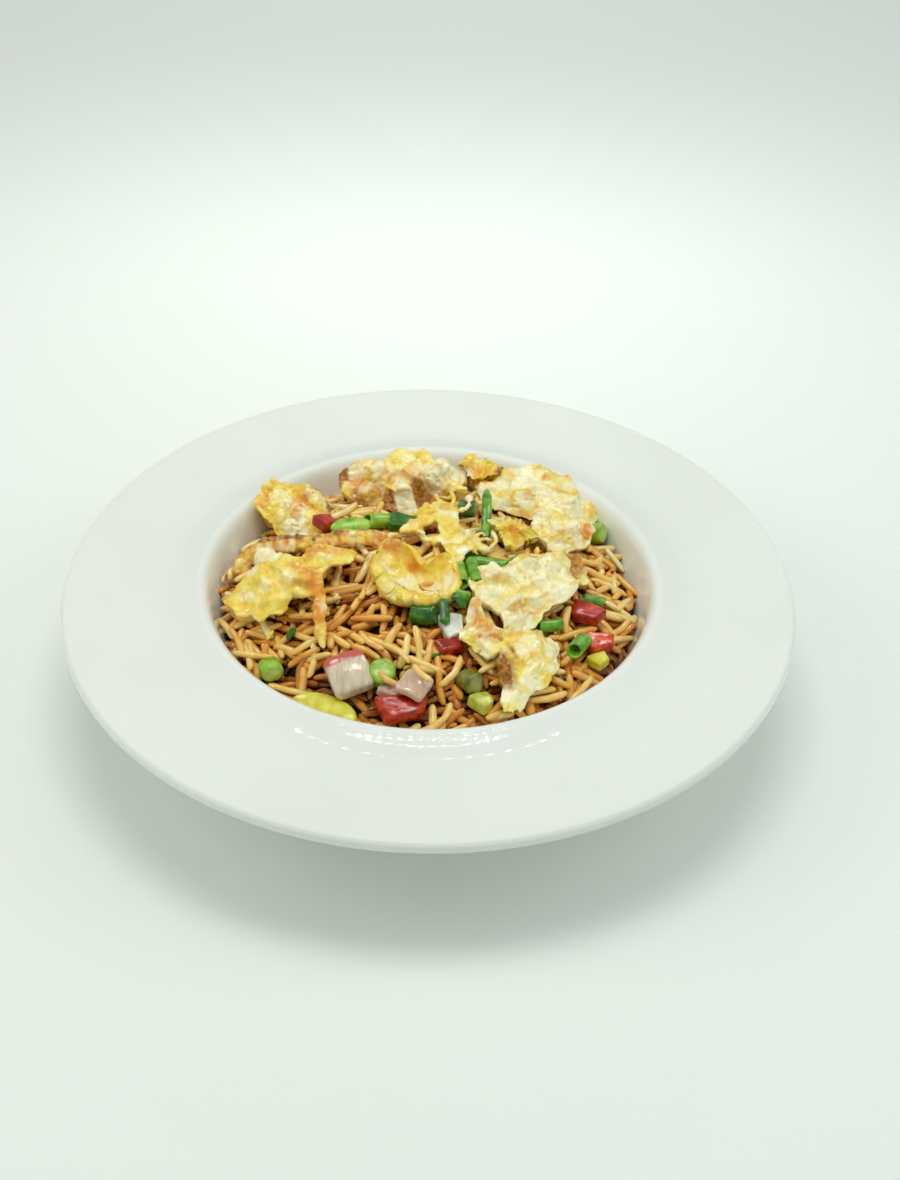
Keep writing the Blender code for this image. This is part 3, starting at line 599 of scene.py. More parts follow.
def grain_skins(laid, seed):
    """All grains at once: an ellipse of changing width carried along a slightly bent line."""
    chance = np.random.default_rng(seed)
    count = len(laid)
    along = np.array([-0.985, -0.93, -0.74, 0.0, 0.74, 0.93, 0.985])
    swell = (1 - np.abs(along) ** 6) ** 0.5
    angle = 2 * np.pi * np.arange(AROUND_GRAIN) / AROUND_GRAIN
    x0, y0, z0, heading, pitch, length, thick = laid.T
    bend = chance.normal(0, 0.9, count)
    taper = chance.normal(0, 0.12, count)
    roll = chance.random(count) * np.pi
    width = thick[:, None] * swell * (1 + taper[:, None] * along)
    u = np.broadcast_to((length[:, None] / 2 * along)[..., None], (count, len(along), AROUND_GRAIN))
    turn = angle + roll[:, None, None]
    v = width[..., None] / 2 * np.cos(turn) + (bend[:, None] * (along ** 2 - 0.4))[..., None]
    w = width[..., None] / 2 * 0.86 * np.sin(turn)
    tips = np.stack([-length / 2, length / 2], axis=1)
    tip_v = (bend * 0.6)[:, None] * np.ones(2)
    local = np.concatenate([np.stack([u, v, w], -1).reshape(count, -1, 3),
                            np.stack([tips, tip_v, np.zeros((count, 2))], -1)], axis=1)
    ch, sh, cp, sp = (f(a)[:, None] for a in (heading, pitch) for f in (np.cos, np.sin))
    a, b, c = local[..., 0], local[..., 1], local[..., 2]
    x = x0[:, None] + (a * cp - c * sp) * ch - b * sh
    y = y0[:, None] + (a * cp - c * sp) * sh + b * ch
    z = z0[:, None] + a * sp + c * cp
    points = np.stack([x, y, z], -1)
    quads, triangles = skin_faces(len(along), AROUND_GRAIN)
    start = (np.arange(count) * points.shape[1])[:, None, None]
    return points, (quads + start).reshape(-1, 4), (triangles + start).reshape(-1, 3)


print("a grain has", sum(map(len, skin_faces(7, AROUND_GRAIN))), "faces")

# %% [markdown]
# Soy sauce stains each grain differently, so each grain has its own stain, and noise mottles it. The
# deeper a grain lies in the heap, the darker it is painted: painted shade, as little light gets in there.
# %% Rice finish and grains
rice_finish = Finish("soy_stained_rice", 0.24, Subsurface_Weight=0.3, Subsurface_Scale=0.0015,
                     Coat_Weight=0.4)
# The painted value holds each grain's own stain and the painted shade of the deeper grains.
stain = rice_finish.maths("ADD", rice_finish.painted("stain"), rice_finish.centred(150.0, 3.0, 0.5))
rice_finish.colour(rice_finish.ramp(
    stain, (0.0, (255, 236, 170)), (0.25, (249, 206, 112)), (0.5, (226, 154, 50)), (0.75, (148, 78, 12)),
    (1.0, (66, 26, 2))))
rice_finish.bump(rice_finish.noise(700.0, 2.0), 0.08)


def make_grains(name, laid, seed):
    """One piece of many grains; each grain has its own stain, and the deeper ones are painted darker as
    shade.
    """
    points, quads, triangles = grain_skins(laid, seed)
    chance = np.random.default_rng(seed + 1)
    depth = np.clip((rice_height(laid[:, 0], laid[:, 1]) - laid[:, 2]) / CORE_SINK, 0, 1)
    # Own stain by chance, plus painted shade that grows with depth.
    own = 0.25 + chance.normal(0, 0.10, len(laid)) + 0.84 * depth ** 1.2
    values = np.repeat(own, points.shape[1])
    return make_piece(name, [(points.reshape(-1, 3), quads, triangles)], rice_finish.material, "rice",
                      stain=values)


order = np.argsort(grains[:, 2] - rice_height(grains[:, 0], grains[:, 1]))
for label, part in zip(("low", "middle", "top"), np.array_split(order, 3)):
    batch = make_grains("rice_grains_" + label, grains[part], 100 + len(label))
    print(batch.name, len(batch.data.polygons), "faces")

# %% [markdown]
# Fried egg is a torn sheet: it swells in the middle, curls at its rim and is rumpled all over. On a
# polar grid the upper side is a height over each share of the outline and each direction. The
# outline is an ellipse with lobes, made ragged with noise. The underside follows one thickness
# below, and where the egg is folded double it goes down to the rice. Lumps and dents are bell
# curves, set where the real piece has them.
# %% Egg as a sheet over a polar grid
EGG_ROWS = 64
EGG_SPOKES = 200


def near(angle, centre, width):
    """A smooth window round one direction: 1 at the centre, falling to 0 at a few widths."""
    off = np.angle(np.exp(1j * (angle - np.radians(centre))))
    return np.exp(-(off / np.radians(width)) ** 2)


def bell(x, y, place, size, turn=0.0):
    """A bell over an ellipse: 1 at its middle, about a third at its edge."""
    c, s = np.cos(np.radians(turn)), np.sin(np.radians(turn))
    dx, dy = x - place[0], y - place[1]
    return np.exp(-((dx * c + dy * s) / size[0]) ** 2 - ((dy * c - dx * s) / size[1]) ** 2)


def egg_upper(s, angle, egg):
    """Upper side of the sheet, by the formula in the cell above."""
    outline = np.ones_like(angle)
    for lobes, size, phase in egg["lobes"]:
        outline = outline + size * np.cos(lobes * (angle - np.radians(phase)))
    rim = np.stack([3 * np.cos(angle), 3 * np.sin(angle), np.full_like(angle, egg["seed"])], -1)
    outline = outline * (1 + s ** 3 * (0.13 * cloud(rim, 1.5, 3) + egg["rag"] * cloud(rim, 0.5, 3, 5)))
    draw = np.ones_like(s)
    lift = np.zeros_like(s)
    for direction, width, rise, pull in egg["curls"]:
        edge = near(angle, direction, width) * np.clip((s - 0.4) / 0.6, 0, 1) ** 1.6
        lift = lift + rise * edge
        draw = draw - pull * edge
    turn = np.radians(egg["turn"])
    u = egg["half"][0] * s * outline * draw * np.cos(angle)
    v = egg["half"][1] * s * outline * draw * np.sin(angle)
    x = egg["centre"][0] + u * np.cos(turn) - v * np.sin(turn)
    y = egg["centre"][1] + u * np.sin(turn) + v * np.cos(turn)
    rumple = egg["rumple"] * (np.sin(0.42 * x + 0.2 * y) + np.sin(0.33 * y - 0.25 * x + 1.0))
    z = rice_height(x, y) - 0.6 * knobs(x, y) + egg["lift"] + egg["crown"] * (1 - s ** 2) + rumple + lift
    z = z + egg["slope"][0] * (x - egg["centre"][0]) + egg["slope"][1] * (y - egg["centre"][1])
    for place, size, lump_turn, height in egg["lumps"]:
        z = z + height * bell(x, y, place, size, lump_turn)
    return np.stack([x, y, z], axis=-1)


middle_and_edge = [round(float(bell(x, 0.0, (0, 0), (4, 4))), 2) for x in (0.0, 4.0)]
print("a bell at its middle and at its edge:", middle_and_edge)

# %% [markdown]
# Egg that sets in hot fat swells into soft curds, with creases between them. The relief pushes the
# sheet in and out along its own normal, so that steep parts get it as well as flat ones. It fades
# towards the rim, where egg sets thin and crisp.
# %% The closed skin of a sheet


def curds(points, size, seed):
    """Puffs with narrow creases between them: the size of a field, read at places shaken by others."""
    points = np.asarray(points)
    shaken = points + 0.4 * size * np.stack([noise(points, size, seed + k) for k in range(3)], -1)
    return 2.4 * np.abs(noise(shaken, size, seed + 7)) ** 0.75 - 0.9


def grid_normals(grid):
    """Unit normals of a grid of points [ring, spoke], whose spokes close on themselves."""
    outward_step = np.gradient(grid, axis=0)
    around = np.roll(grid, -1, axis=1) - np.roll(grid, 1, axis=1)
    normal = np.cross(outward_step, around)
    return normal / np.maximum(np.linalg.norm(normal, axis=2, keepdims=True), 1e-9)


EGG_DEFAULTS = dict(turn=0, lift=6.0, crown=2.0, lobes=[], slope=(0, 0), rumple=0.8, curls=[], thick=4.0,
                    heart=0.0, lumps=[], seed=0, rag=0.06, relief=1.15)


def egg_skin(**given):
    """A closed skin of one sheet: upper side, rounded rim and underside, all roughened by noise."""
    egg = {**EGG_DEFAULTS, **given}
    share = (np.arange(1, EGG_ROWS + 1) / EGG_ROWS) ** 0.85
    s, angle = np.meshgrid(share, 2 * np.pi * np.arange(EGG_SPOKES) / EGG_SPOKES, indexing="ij")
    upper = egg_upper(s, angle, egg)
    normal = grid_normals(upper)
    normal = normal * np.sign(normal[..., 2:3].mean())
    thin = egg["thick"] * (0.34 + 0.66 * np.sqrt(np.clip(1 - s ** 7, 0, 1)))[..., None]
    lower = upper - normal * thin
    ground = rice_height(lower[..., 0], lower[..., 1]) + 0.5
    sink = np.clip((egg["heart"] + 0.14 - s) / 0.14, 0, 1) * (egg["heart"] > 0)
    lower[..., 2] -= sink * np.maximum(lower[..., 2] - ground, 0)
    in_well = np.hypot(lower[..., 0], lower[..., 1]) < HEAP_RADIUS
    kept = np.minimum(np.maximum(lower[..., 2], ground), upper[..., 2] - 0.5)
    lower[..., 2] = np.where(in_well, kept, lower[..., 2])
    puffs = 0.6 * curds(upper, 8.0, 40) + 0.45 * curds(upper, 3.0, 60)
    folds = 2.2 * np.clip(1 - 2.6 * np.abs(noise(upper, 13.0, 80)), 0, 1) ** 2 - 0.5
    lumps = 0.8 * cloud(upper, 5.0, 5, 3 + egg["seed"])
    relief = egg["relief"] * (1 - 0.6 * s ** 6) * (puffs + folds + lumps)
    pits = -1.0 * np.clip(noise(upper, 1.7, 9 + egg["seed"]) - 0.55, 0, 1) * egg["relief"] * 3
    upper = upper + normal * (relief + pits)[..., None]
    lower = lower + normal * (0.5 * cloud(lower, 3.0, 3, 8))[..., None]
    middle = upper[0].mean(axis=0)
    under = lower[0].mean(axis=0)
    return closed_skin(np.concatenate([upper, lower[::-1]]), middle, under)


print("egg helpers: each sheet has", 2 * EGG_ROWS * EGG_SPOKES, "faces")

# %% [markdown]
# Not all of the food is a sheet. A strand of egg or a leaf of chive is a flat ribbon along a path,
# and a knob of egg or a cube of pepper is a sphere pushed towards a block.
# %% Ribbons and blocks


def turned(tilt, turn):
    """The rotation of a tilt about x and y and then a turn about z, all in degrees."""
    return np.array(Euler(tuple(np.radians((*tilt, turn)))).to_matrix())


def ribbon_skin(stops, width, thick, lean, sections=90, around=20, seed=0, relief=0.35):
    """A flat strip along a path: an ellipse turned by its lean, tapered, with a rough surface.

    The stops are x, y and the height of the strip's middle above the rice.
    """
    route = smooth_path(stops, sections)
    route[:, 2] += rice_height(route[:, 0], route[:, 1])
    way = np.gradient(route, axis=0)
    way /= np.linalg.norm(way, axis=1, keepdims=True)
    side = np.cross(way, [0, 0, 1.0])
    side /= np.linalg.norm(side, axis=1, keepdims=True)
    up = np.cross(side, way)
    tilt = np.radians(lean)
    broad = (side * np.cos(tilt) + up * np.sin(tilt))[:, None]
    flat = (up * np.cos(tilt) - side * np.sin(tilt))[:, None]
    share = np.linspace(0, 1, sections)
    taper = np.interp(share, [0, 0.04, 0.14, 0.86, 0.96, 1], [0.15, 0.5, 1, 1, 0.55, 0.2])[:, None, None]
    angle = 2 * np.pi * np.arange(around) / around
    across_it = np.cos(angle)[None, :, None] * width / 2
    through_it = soft_power(np.sin(angle), 0.7)[None, :, None] * thick / 2
    skin = route[:, None] + taper * (broad * across_it + flat * through_it)
    push = skin - route[:, None]
    push /= np.maximum(np.linalg.norm(push, axis=-1, keepdims=True), 1e-6)
    skin = skin + push * (relief * taper[..., 0] * cloud(skin, 3.0, 4, seed))[..., None]
    return closed_skin(skin, route[0], route[-1])


def blob_skin(place, size, power, turn=0.0, tilt=(0, 0), rough=0.2, seed=0, rows=26, around=40,
              shape=None):
    """A rounded block: a sphere whose sines and cosines are raised to a power, scaled to its size.

    A power of 1 gives an egg shape and 0.3 a block with soft corners; the two numbers are for the
    side view and for the plan. A shape function may bend the points before they are laid.
    """
    polar = np.linspace(-0.485 * np.pi, 0.485 * np.pi, rows)[:, None]
    angle = (2 * np.pi * np.arange(around) / around)[None, :]
    x = soft_power(np.cos(polar), power[0]) * soft_power(np.cos(angle), power[1])
    y = soft_power(np.cos(polar), power[0]) * soft_power(np.sin(angle), power[1])
    z = np.broadcast_to(soft_power(np.sin(polar), power[0]), x.shape)
    local = np.stack([x, y, z], -1) * (np.array(size) / 2)
    tips = np.array([[0, 0, -size[2] / 2], [0, 0, size[2] / 2]])
    whole = np.vstack([local.reshape(-1, 3), tips])
    if shape is not None:
        whole = shape(whole)
    push = whole / np.maximum(np.linalg.norm(whole, axis=-1, keepdims=True), 1e-6)
    whole = whole + push * (rough * cloud(whole + 31.0 * seed, 2.6, 3, seed))[..., None]
    whole = whole @ turned(tilt, turn).T + np.array(place, float)
    return (whole, *skin_faces(rows, around))


def on_rice(x, y, lift):
    """A place at a height above the ground of the heap."""
    return (x, y, float(rice_height(x, y)) + lift)


print("a place on the rice:", [round(v, 1) for v in on_rice(0.0, 0.0, 2.0)])

# %% [markdown]
# Egg is white, yolk yellow, orange where fat coloured it and brown where it touched the hot pan.
# Yolk yellow is the ground colour. Three painted values lay white, orange and brown over it, and
# noise breaks up their borders.
# %% Egg finish
egg_finish = Finish("fried_egg", 0.30, Subsurface_Weight=0.2, Subsurface_Scale=0.002, Coat_Weight=0.35)
mottle = egg_finish.centred(420.0, 4.0, 0.9)
patchy = egg_finish.centred(110.0, 3.0, 1.2)


def egg_share(label):
    """A painted value, shaken by both noises where it is strong, and with its border sharpened."""
    rough_edge = egg_finish.maths("ADD", mottle, patchy)
    faded = egg_finish.maths("MULTIPLY", rough_edge, egg_finish.maths("ADD", egg_finish.painted(label), 0.2))
    loose = egg_finish.maths("SUBTRACT", egg_finish.maths("ADD", egg_finish.painted(label), faded), 0.5)
    return egg_finish.maths("ADD", egg_finish.maths("MULTIPLY", loose, 1.7), 0.5)


yolk = egg_finish.ramp(egg_finish.noise(160.0, 4.0), (0.3, (238, 188, 40)), (0.5, (248, 220, 84)),
                       (0.72, (254, 238, 134)))
pale = egg_finish.mix(egg_share("white"), yolk, (255, 246, 200))
warm = egg_finish.mix(egg_share("orange"), pale, (230, 150, 46))
crust = egg_finish.ramp(egg_finish.noise(700.0, 4.0), (0.25, (96, 50, 8)), (0.5, (168, 104, 26)),
                        (0.75, (214, 160, 72)))
egg_finish.colour(egg_finish.mix(egg_share("brown"), warm, crust))
egg_finish.bump(egg_finish.noise(800.0, 5.0), 0.35, 0.7)
print("egg finish:", len(egg_finish.tree.nodes), "nodes")

# %% [markdown]
# Nine pieces are one sheet each. First come those at the back, which lean against the wall of the
# well. Each line gives a lump as its place, size, turn and height, and a curl as its direction,
# width, rise and how far it draws the rim in.
# %% Egg at the back
egg_pieces = {}
eggs = {
    "egg_back_left": dict(
        centre=(-56, 40), half=(17, 13), turn=116, lift=8.4, crown=2.2, seed=1,
        lobes=[(2, 0.08, 20), (3, 0.10, 15), (5, 0.05, 60)], slope=(-0.30, 0.42), rumple=0.8,
        curls=[(300, 26, 3.0, 0.10)], thick=5.0, heart=0.8,
        lumps=[((-60, 36), (2.4, 9), -20, 2.2), ((-54.5, 37), (3, 4), 0, -3.0), ((-49, 46), (3, 5), 20, 2.0),
               ((-52, 29), (3, 2.4), 0, 2.6)]),
    "egg_back_middle": dict(
        centre=(-11, 56.5), half=(26, 17), turn=-2, lift=8.6, crown=3.0, seed=2,
        lobes=[(2, 0.05, 0), (3, 0.06, 40), (4, 0.06, 10), (5, 0.05, 80)], slope=(0.0, 0.40), rumple=1.2,
        curls=[(160, 18, 6.0, 0.06), (90, 20, 2.5, 0.05), (285, 50, -3.0, -0.05)], thick=5.5, heart=0.9,
        lumps=[((-21, 47), (7, 5), 12, -4.0), ((-1, 48), (8, 4.4), -8, -4.0), ((-11, 47), (2, 8), 24, 3.0),
               ((-18, 58), (7, 3), 10, 1.8), ((2, 60), (6, 4), 0, 1.8)]),
    "egg_back_small": dict(
        centre=(20.3, 67), half=(9, 5.5), turn=-8, lift=12.0, crown=1.5, seed=3,
        lobes=[(3, 0.16, 20), (4, 0.08, 0)], slope=(0.1, 0.5), rumple=0.6,
        curls=[(85, 40, 2.0, 0.1)], thick=4.5, heart=0.7, rag=0.12),
    "egg_back_right": dict(
        centre=(45.6, 52.5), half=(24.5, 15.5), turn=-33, lift=8.6, crown=3.0, seed=4,
        lobes=[(2, 0.05, 30), (3, 0.08, 100), (5, 0.05, 20)], slope=(0.06, 0.38), rumple=1.0,
        curls=[(110, 35, 2.0, 0.08), (200, 40, -5.0, -0.12), (250, 30, -4.0, -0.10)], thick=6.5, heart=0.9,
        relief=0.8,
        lumps=[((34, 46), (4, 8), 10, 1.6), ((40, 45), (2, 6), 25, -1.6), ((52, 48), (8, 5), -30, 1.5)]),
}
print("egg at the back:", len(eggs))

# %% [markdown]
# The other sheets lie in the middle and on the right. The centre fold is a cup: its crown is
# negative, so its middle is sunk and its rim stands up.
# %% Egg in the middle and at the right
eggs.update({
    "egg_right_fold": dict(
        centre=(53, 26), half=(13.5, 12), turn=15, lift=6.0, crown=3.2, seed=5,
        lobes=[(2, 0.05, 70), (3, 0.09, 10)], slope=(0.06, 0.10), rumple=0.8,
        curls=[(350, 40, 2.0, 0.10)], thick=4.5, heart=0.6,
        lumps=[((61, 27), (2.6, 4), 0, -1.8), ((56, 27), (2, 7), 5, 1.0)]),
    "egg_crumbs": dict(
        centre=(33, 20), half=(9.5, 7), turn=-20, lift=4.6, crown=1.5, seed=6,
        lobes=[(3, 0.18, 40), (4, 0.12, 10)], slope=(0, 0.05), rumple=0.9,
        curls=[(180, 30, 1.5, 0.1)], thick=3.6, rag=0.2, relief=1.4),
    "egg_brown_chunk": dict(
        centre=(56, 1.5), half=(8.5, 5), turn=112, lift=5.4, crown=1.8, seed=7,
        lobes=[(2, 0.08, 0), (3, 0.10, 50)], rumple=0.6, curls=[(0, 40, 1.5, 0.1)], thick=4.6, relief=0.9),
    "egg_right_lower": dict(
        centre=(35, -54), half=(18, 10), turn=74, lift=5.2, crown=3.0, seed=8,
        lobes=[(1, 0.10, 0), (3, 0.08, 60)], slope=(0.0, -0.02), rumple=0.6,
        curls=[(95, 35, 3.0, 0.12), (176, 22, -1.0, -0.24)], thick=4.2, heart=0.5,
        relief=0.6, lumps=[((28, -57), (2.6, 8), 20, -3.0), ((38, -50), (5, 8), -10, 1.8)]),
    "egg_centre_fold": dict(
        centre=(-6, -12.5), half=(18.5, 15), turn=128, lift=5.4, crown=-5.0, seed=9,
        lobes=[(2, 0.06, 20), (3, 0.05, 90)], slope=(-0.03, 0.03), rumple=0.4,
        curls=[(350, 34, 5.0, 0.10), (55, 30, 3.5, 0.08), (180, 40, 3.0, 0.10), (250, 30, 3.0, 0.02),
               (298, 24, 0.0, 0.42), (96, 34, 0.0, 0.5), (130, 24, 0.0, 0.12)],
        thick=5.0, relief=0.45, rag=0.015,
        lumps=[((-2, -10), (5, 7), 30, -2.4), ((-14, -6), (4, 10), 25, 3.4), ((5, -3), (3, 5), 0, 2.6),
               ((-6, -2), (3, 3), 0, -2.0), ((-4, -22), (8, 3.0), 10, 1.6)]),
})


def make_egg(name, skins, slot="egg"):
    """A piece of egg in place of the solid of the same name."""
    egg_pieces[name] = make_piece("fried_" + name, skins, egg_finish.material, slot, name)
    return egg_pieces[name]


for name, egg in eggs.items():
    make_egg(name, [egg_skin(**egg)], "browned_egg" if name == "egg_brown_chunk" else "egg")
print("egg sheets:", len(egg_pieces))

# %% [markdown]
# Some pieces of egg are several parts that cooked together. Their skins are joined, and a fine voxel
# remesh welds them into one. The web is such a piece: six broad ribbons are its body, and thirty
# thin strands laid by chance between them are its lace.
# %% Egg web
WELD_VOXEL = 0.00050
LACE_STRANDS = 30
STRAND_THICK = 1.2


def apply_modifier(piece, kind, **settings):
    """Add a modifier, set it, and make its result the piece's own mesh."""
    change = piece.modifiers.new(kind.lower(), kind)
    for label, value in settings.items():
        setattr(change, label, value)
    view = bpy.context.evaluated_depsgraph_get()
    result = bpy.data.meshes.new_from_object(piece.evaluated_get(view), depsgraph=view)
    piece.modifiers.remove(change)
    result.name = piece.name
    piece.data = result


def weld(piece):
    """Melt overlapping skins into one."""
    apply_modifier(piece, "REMESH", mode="VOXEL", voxel_size=WELD_VOXEL, use_smooth_shade=True)
    piece.data.shade_smooth()


web_parts = [
    ([(8, 37, 6.0), (6, 30, 6.4), (7.0, 19, 6.2), (9.0, 8, 5.4), (10.5, -5, 3.6)], 10.0, 2.6, 6),
    ([(-12, 14, 6.0), (-6, 17.5, 6.4), (0, 21.5, 6.2), (7, 25, 6.0)], 6.0, 2.4, 4),
    ([(-4, 17, 6.0), (-2, 10, 5.6), (4, 9.5, 5.4), (8, 15, 5.6)], 3.6, 2.2, 4),
    ([(9.5, 8.5, 5.2), (14, 9.2, 5.2), (19, 8.0, 5.0), (23.5, 7.0, 4.6)], 4.4, 2.4, 4),
    ([(11, 30, 6.2), (15, 34, 6.6), (15.5, 41, 7.6)], 2.0, 1.4, 10),
    ([(-3, 24, 6.4), (3, 28, 6.6), (8, 33, 6.6)], 4.5, 2.2, 8)]
lace_rng = np.random.default_rng(3)
web_skins = [ribbon_skin(*part, seed=20 + k, relief=0.9) for k, part in enumerate(web_parts)]
for k in range(LACE_STRANDS):
    route = np.array(web_parts[(0, 0, 1, 3, 5)[k % 5]][0])
    start = route[lace_rng.integers(len(route) - 1)] + lace_rng.normal(0, (2.0, 2.0, 0.5))
    end = start + lace_rng.normal(0, (6.0, 6.0, 1.0))
    middle = (start + end) / 2 + (*lace_rng.normal(0, 1.5, 2), 1.2)
    width = STRAND_THICK * (1 + lace_rng.random())
    web_skins.append(ribbon_skin([start, middle, end], width, STRAND_THICK, 0, 24, 10, 50 + k, 0.3))
web = make_egg("egg_web", web_skins)
weld(web)
print(web.name, len(web.data.polygons), "faces")

# %% [markdown]
# The piece at the left is a swollen fold with a flap, a drip that hangs from it and a white knob.
# All four are welded, so that no seam shows where they meet.
# %% Left egg
left_body = dict(
    centre=(-58, -11.5), half=(17, 18.5), turn=8, lift=6.4, crown=5.2, seed=12,
    lobes=[(2, 0.03, 0), (3, 0.05, 100), (5, 0.05, 30)], slope=(0.03, 0.0), rumple=1.0,
    curls=[(225, 30, 1.5, 0.03), (300, 16, 0.0, 0.3)], thick=6.5, heart=0.7, relief=1.25, rag=0.025,
    lumps=[((-61, -2.5), (1.1, 1.1), 0, -2.6), ((-50, -16), (3, 3), 0, -2.2), ((-62, -14), (5, 4), 0, 1.6),
           ((-50, -4), (4, 6), 0, 1.4)])
left_flap = dict(
    centre=(-41, -1), half=(11, 8), turn=-14, lift=6.8, crown=1.6, lobes=[(3, 0.12, 0)], slope=(0.10, 0.0),
    curls=[(60, 40, 2.5, 0.1)], thick=3.2, seed=13)
knob_place = on_rice(-63.5, 5.5, 6.0)
drip_stops = [(-43, -10, 6.6), (-40.5, -22, 5.8), (-40.5, -33, 5.0), (-38, -45, 3.4)]
left_egg = make_egg("egg_left", [
    egg_skin(**left_body), egg_skin(**left_flap), ribbon_skin(drip_stops, 4.4, 3.0, 8, seed=14, relief=1.0),
    blob_skin(knob_place, (9.6, 8.2, 9.5), (0.9, 0.9), rough=0.7, seed=3)])
weld(left_egg)
print(left_egg.name, len(left_egg.data.polygons), "faces")

# %% [markdown]
# The strip is one long ribbon that stands almost on its edge. The largest piece is a thin sheet with
# a lens-shaped hole. A hole can't be drawn on a grid, so a block is cut out of it with a Boolean.
# %% Strip and largest egg
strip_stops = [(-81, 4.6, 2.6), (-74.5, 11.5, 3.8), (-67, 15.5, 5.0), (-57, 16, 5.6),
               (-45, 12, 5.6), (-32, 10, 5.4), (-20, 11.5, 5.0), (-12.5, 13.5, 4.6)]
strip = make_egg("egg_strip", [ribbon_skin(strip_stops, 6.4, 3.6, -40, 220, 40, 15, 0.8)], "browned_egg")

right_large = dict(
    centre=(33, -22.5), half=(31.5, 17), turn=54, lift=6.1, crown=3.0, seed=10,
    lobes=[(1, 0.03, 90), (2, 0.08, 5), (3, 0.09, 78), (5, 0.05, 20)], slope=(0.02, 0.02), rumple=1.0,
    curls=[(5, 22, 2.5, 0.08), (185, 24, 1.5, 0.06), (270, 24, 1.5, 0.05)], thick=3.0,
    lumps=[((35, -27), (9, 1.8), 30, 1.6), ((33, -31), (9, 1.8), 30, -1.6), ((45, -6), (6, 6), 0, 1.0)])
large_egg = make_egg("egg_right_large", [egg_skin(**right_large)])
hole_points, hole_quads, hole_triangles = blob_skin(
    on_rice(23.2, -34.0, 6.0), (14.5, 6.4, 30), (0.4, 1.0), 114, rough=0.5)
hole_quads, hole_triangles = outward(hole_points, hole_quads, hole_triangles)
cutter_mesh = bpy.data.meshes.new("hole_cutter")
cutter_mesh.from_pydata((hole_points * MM).tolist(), [], hole_quads.tolist() + hole_triangles.tolist())
cutter = bpy.data.objects.new("hole_cutter", cutter_mesh)
bpy.context.collection.objects.link(cutter)
apply_modifier(large_egg, "BOOLEAN", operation="DIFFERENCE", object=cutter, solver="MANIFOLD")
bpy.data.objects.remove(cutter, do_unlink=True)
large_egg.data.shade_smooth()
for piece in (strip, large_egg):
    print(piece.name, len(piece.data.polygons), "faces")

# %% [markdown]
# The colours are painted as bells, each with its place, size, turn and strength, and a negative one
# wipes colour off. Curds come out whiter than the creases between them, and the creases more orange:
# partly the egg's own colour, as the white puffed up and fat gathered, and partly painted highlight on
# the puffs and painted shade in the creases.
# %% How egg is painted
# Whiter curds and more orange creases: part egg colour, part painted highlight and painted shade.
CURD_LIGHT_AND_SHADE = {"white": 0.42, "orange": -0.24, "brown": -0.05}


def paint_egg(piece, white=(), orange=(), brown=(), base_white=0.25):
    """Each colour is a base, plus its share of the curds, plus its bells, held between 0 and 1."""
    point = places(piece)
    x, y = point[:, 0], point[:, 1]
    amounts = {}
    for label, spots, base in (("white", white, base_white + 0.04), ("orange", orange, 0.08),
                               ("brown", brown, 0.0)):
        value = base + CURD_LIGHT_AND_SHADE[label] * (curds(point, 7.5, 40) + 0.3 * curds(point, 3.2, 60))
        for place, size, turn, strength in spots:
            value = value + strength * bell(x, y, place, size, turn)
        amounts[label] = np.clip(value, 0, 1)
    paint(piece, **amounts)


print("share of the curds in each colour:", CURD_LIGHT_AND_SHADE)
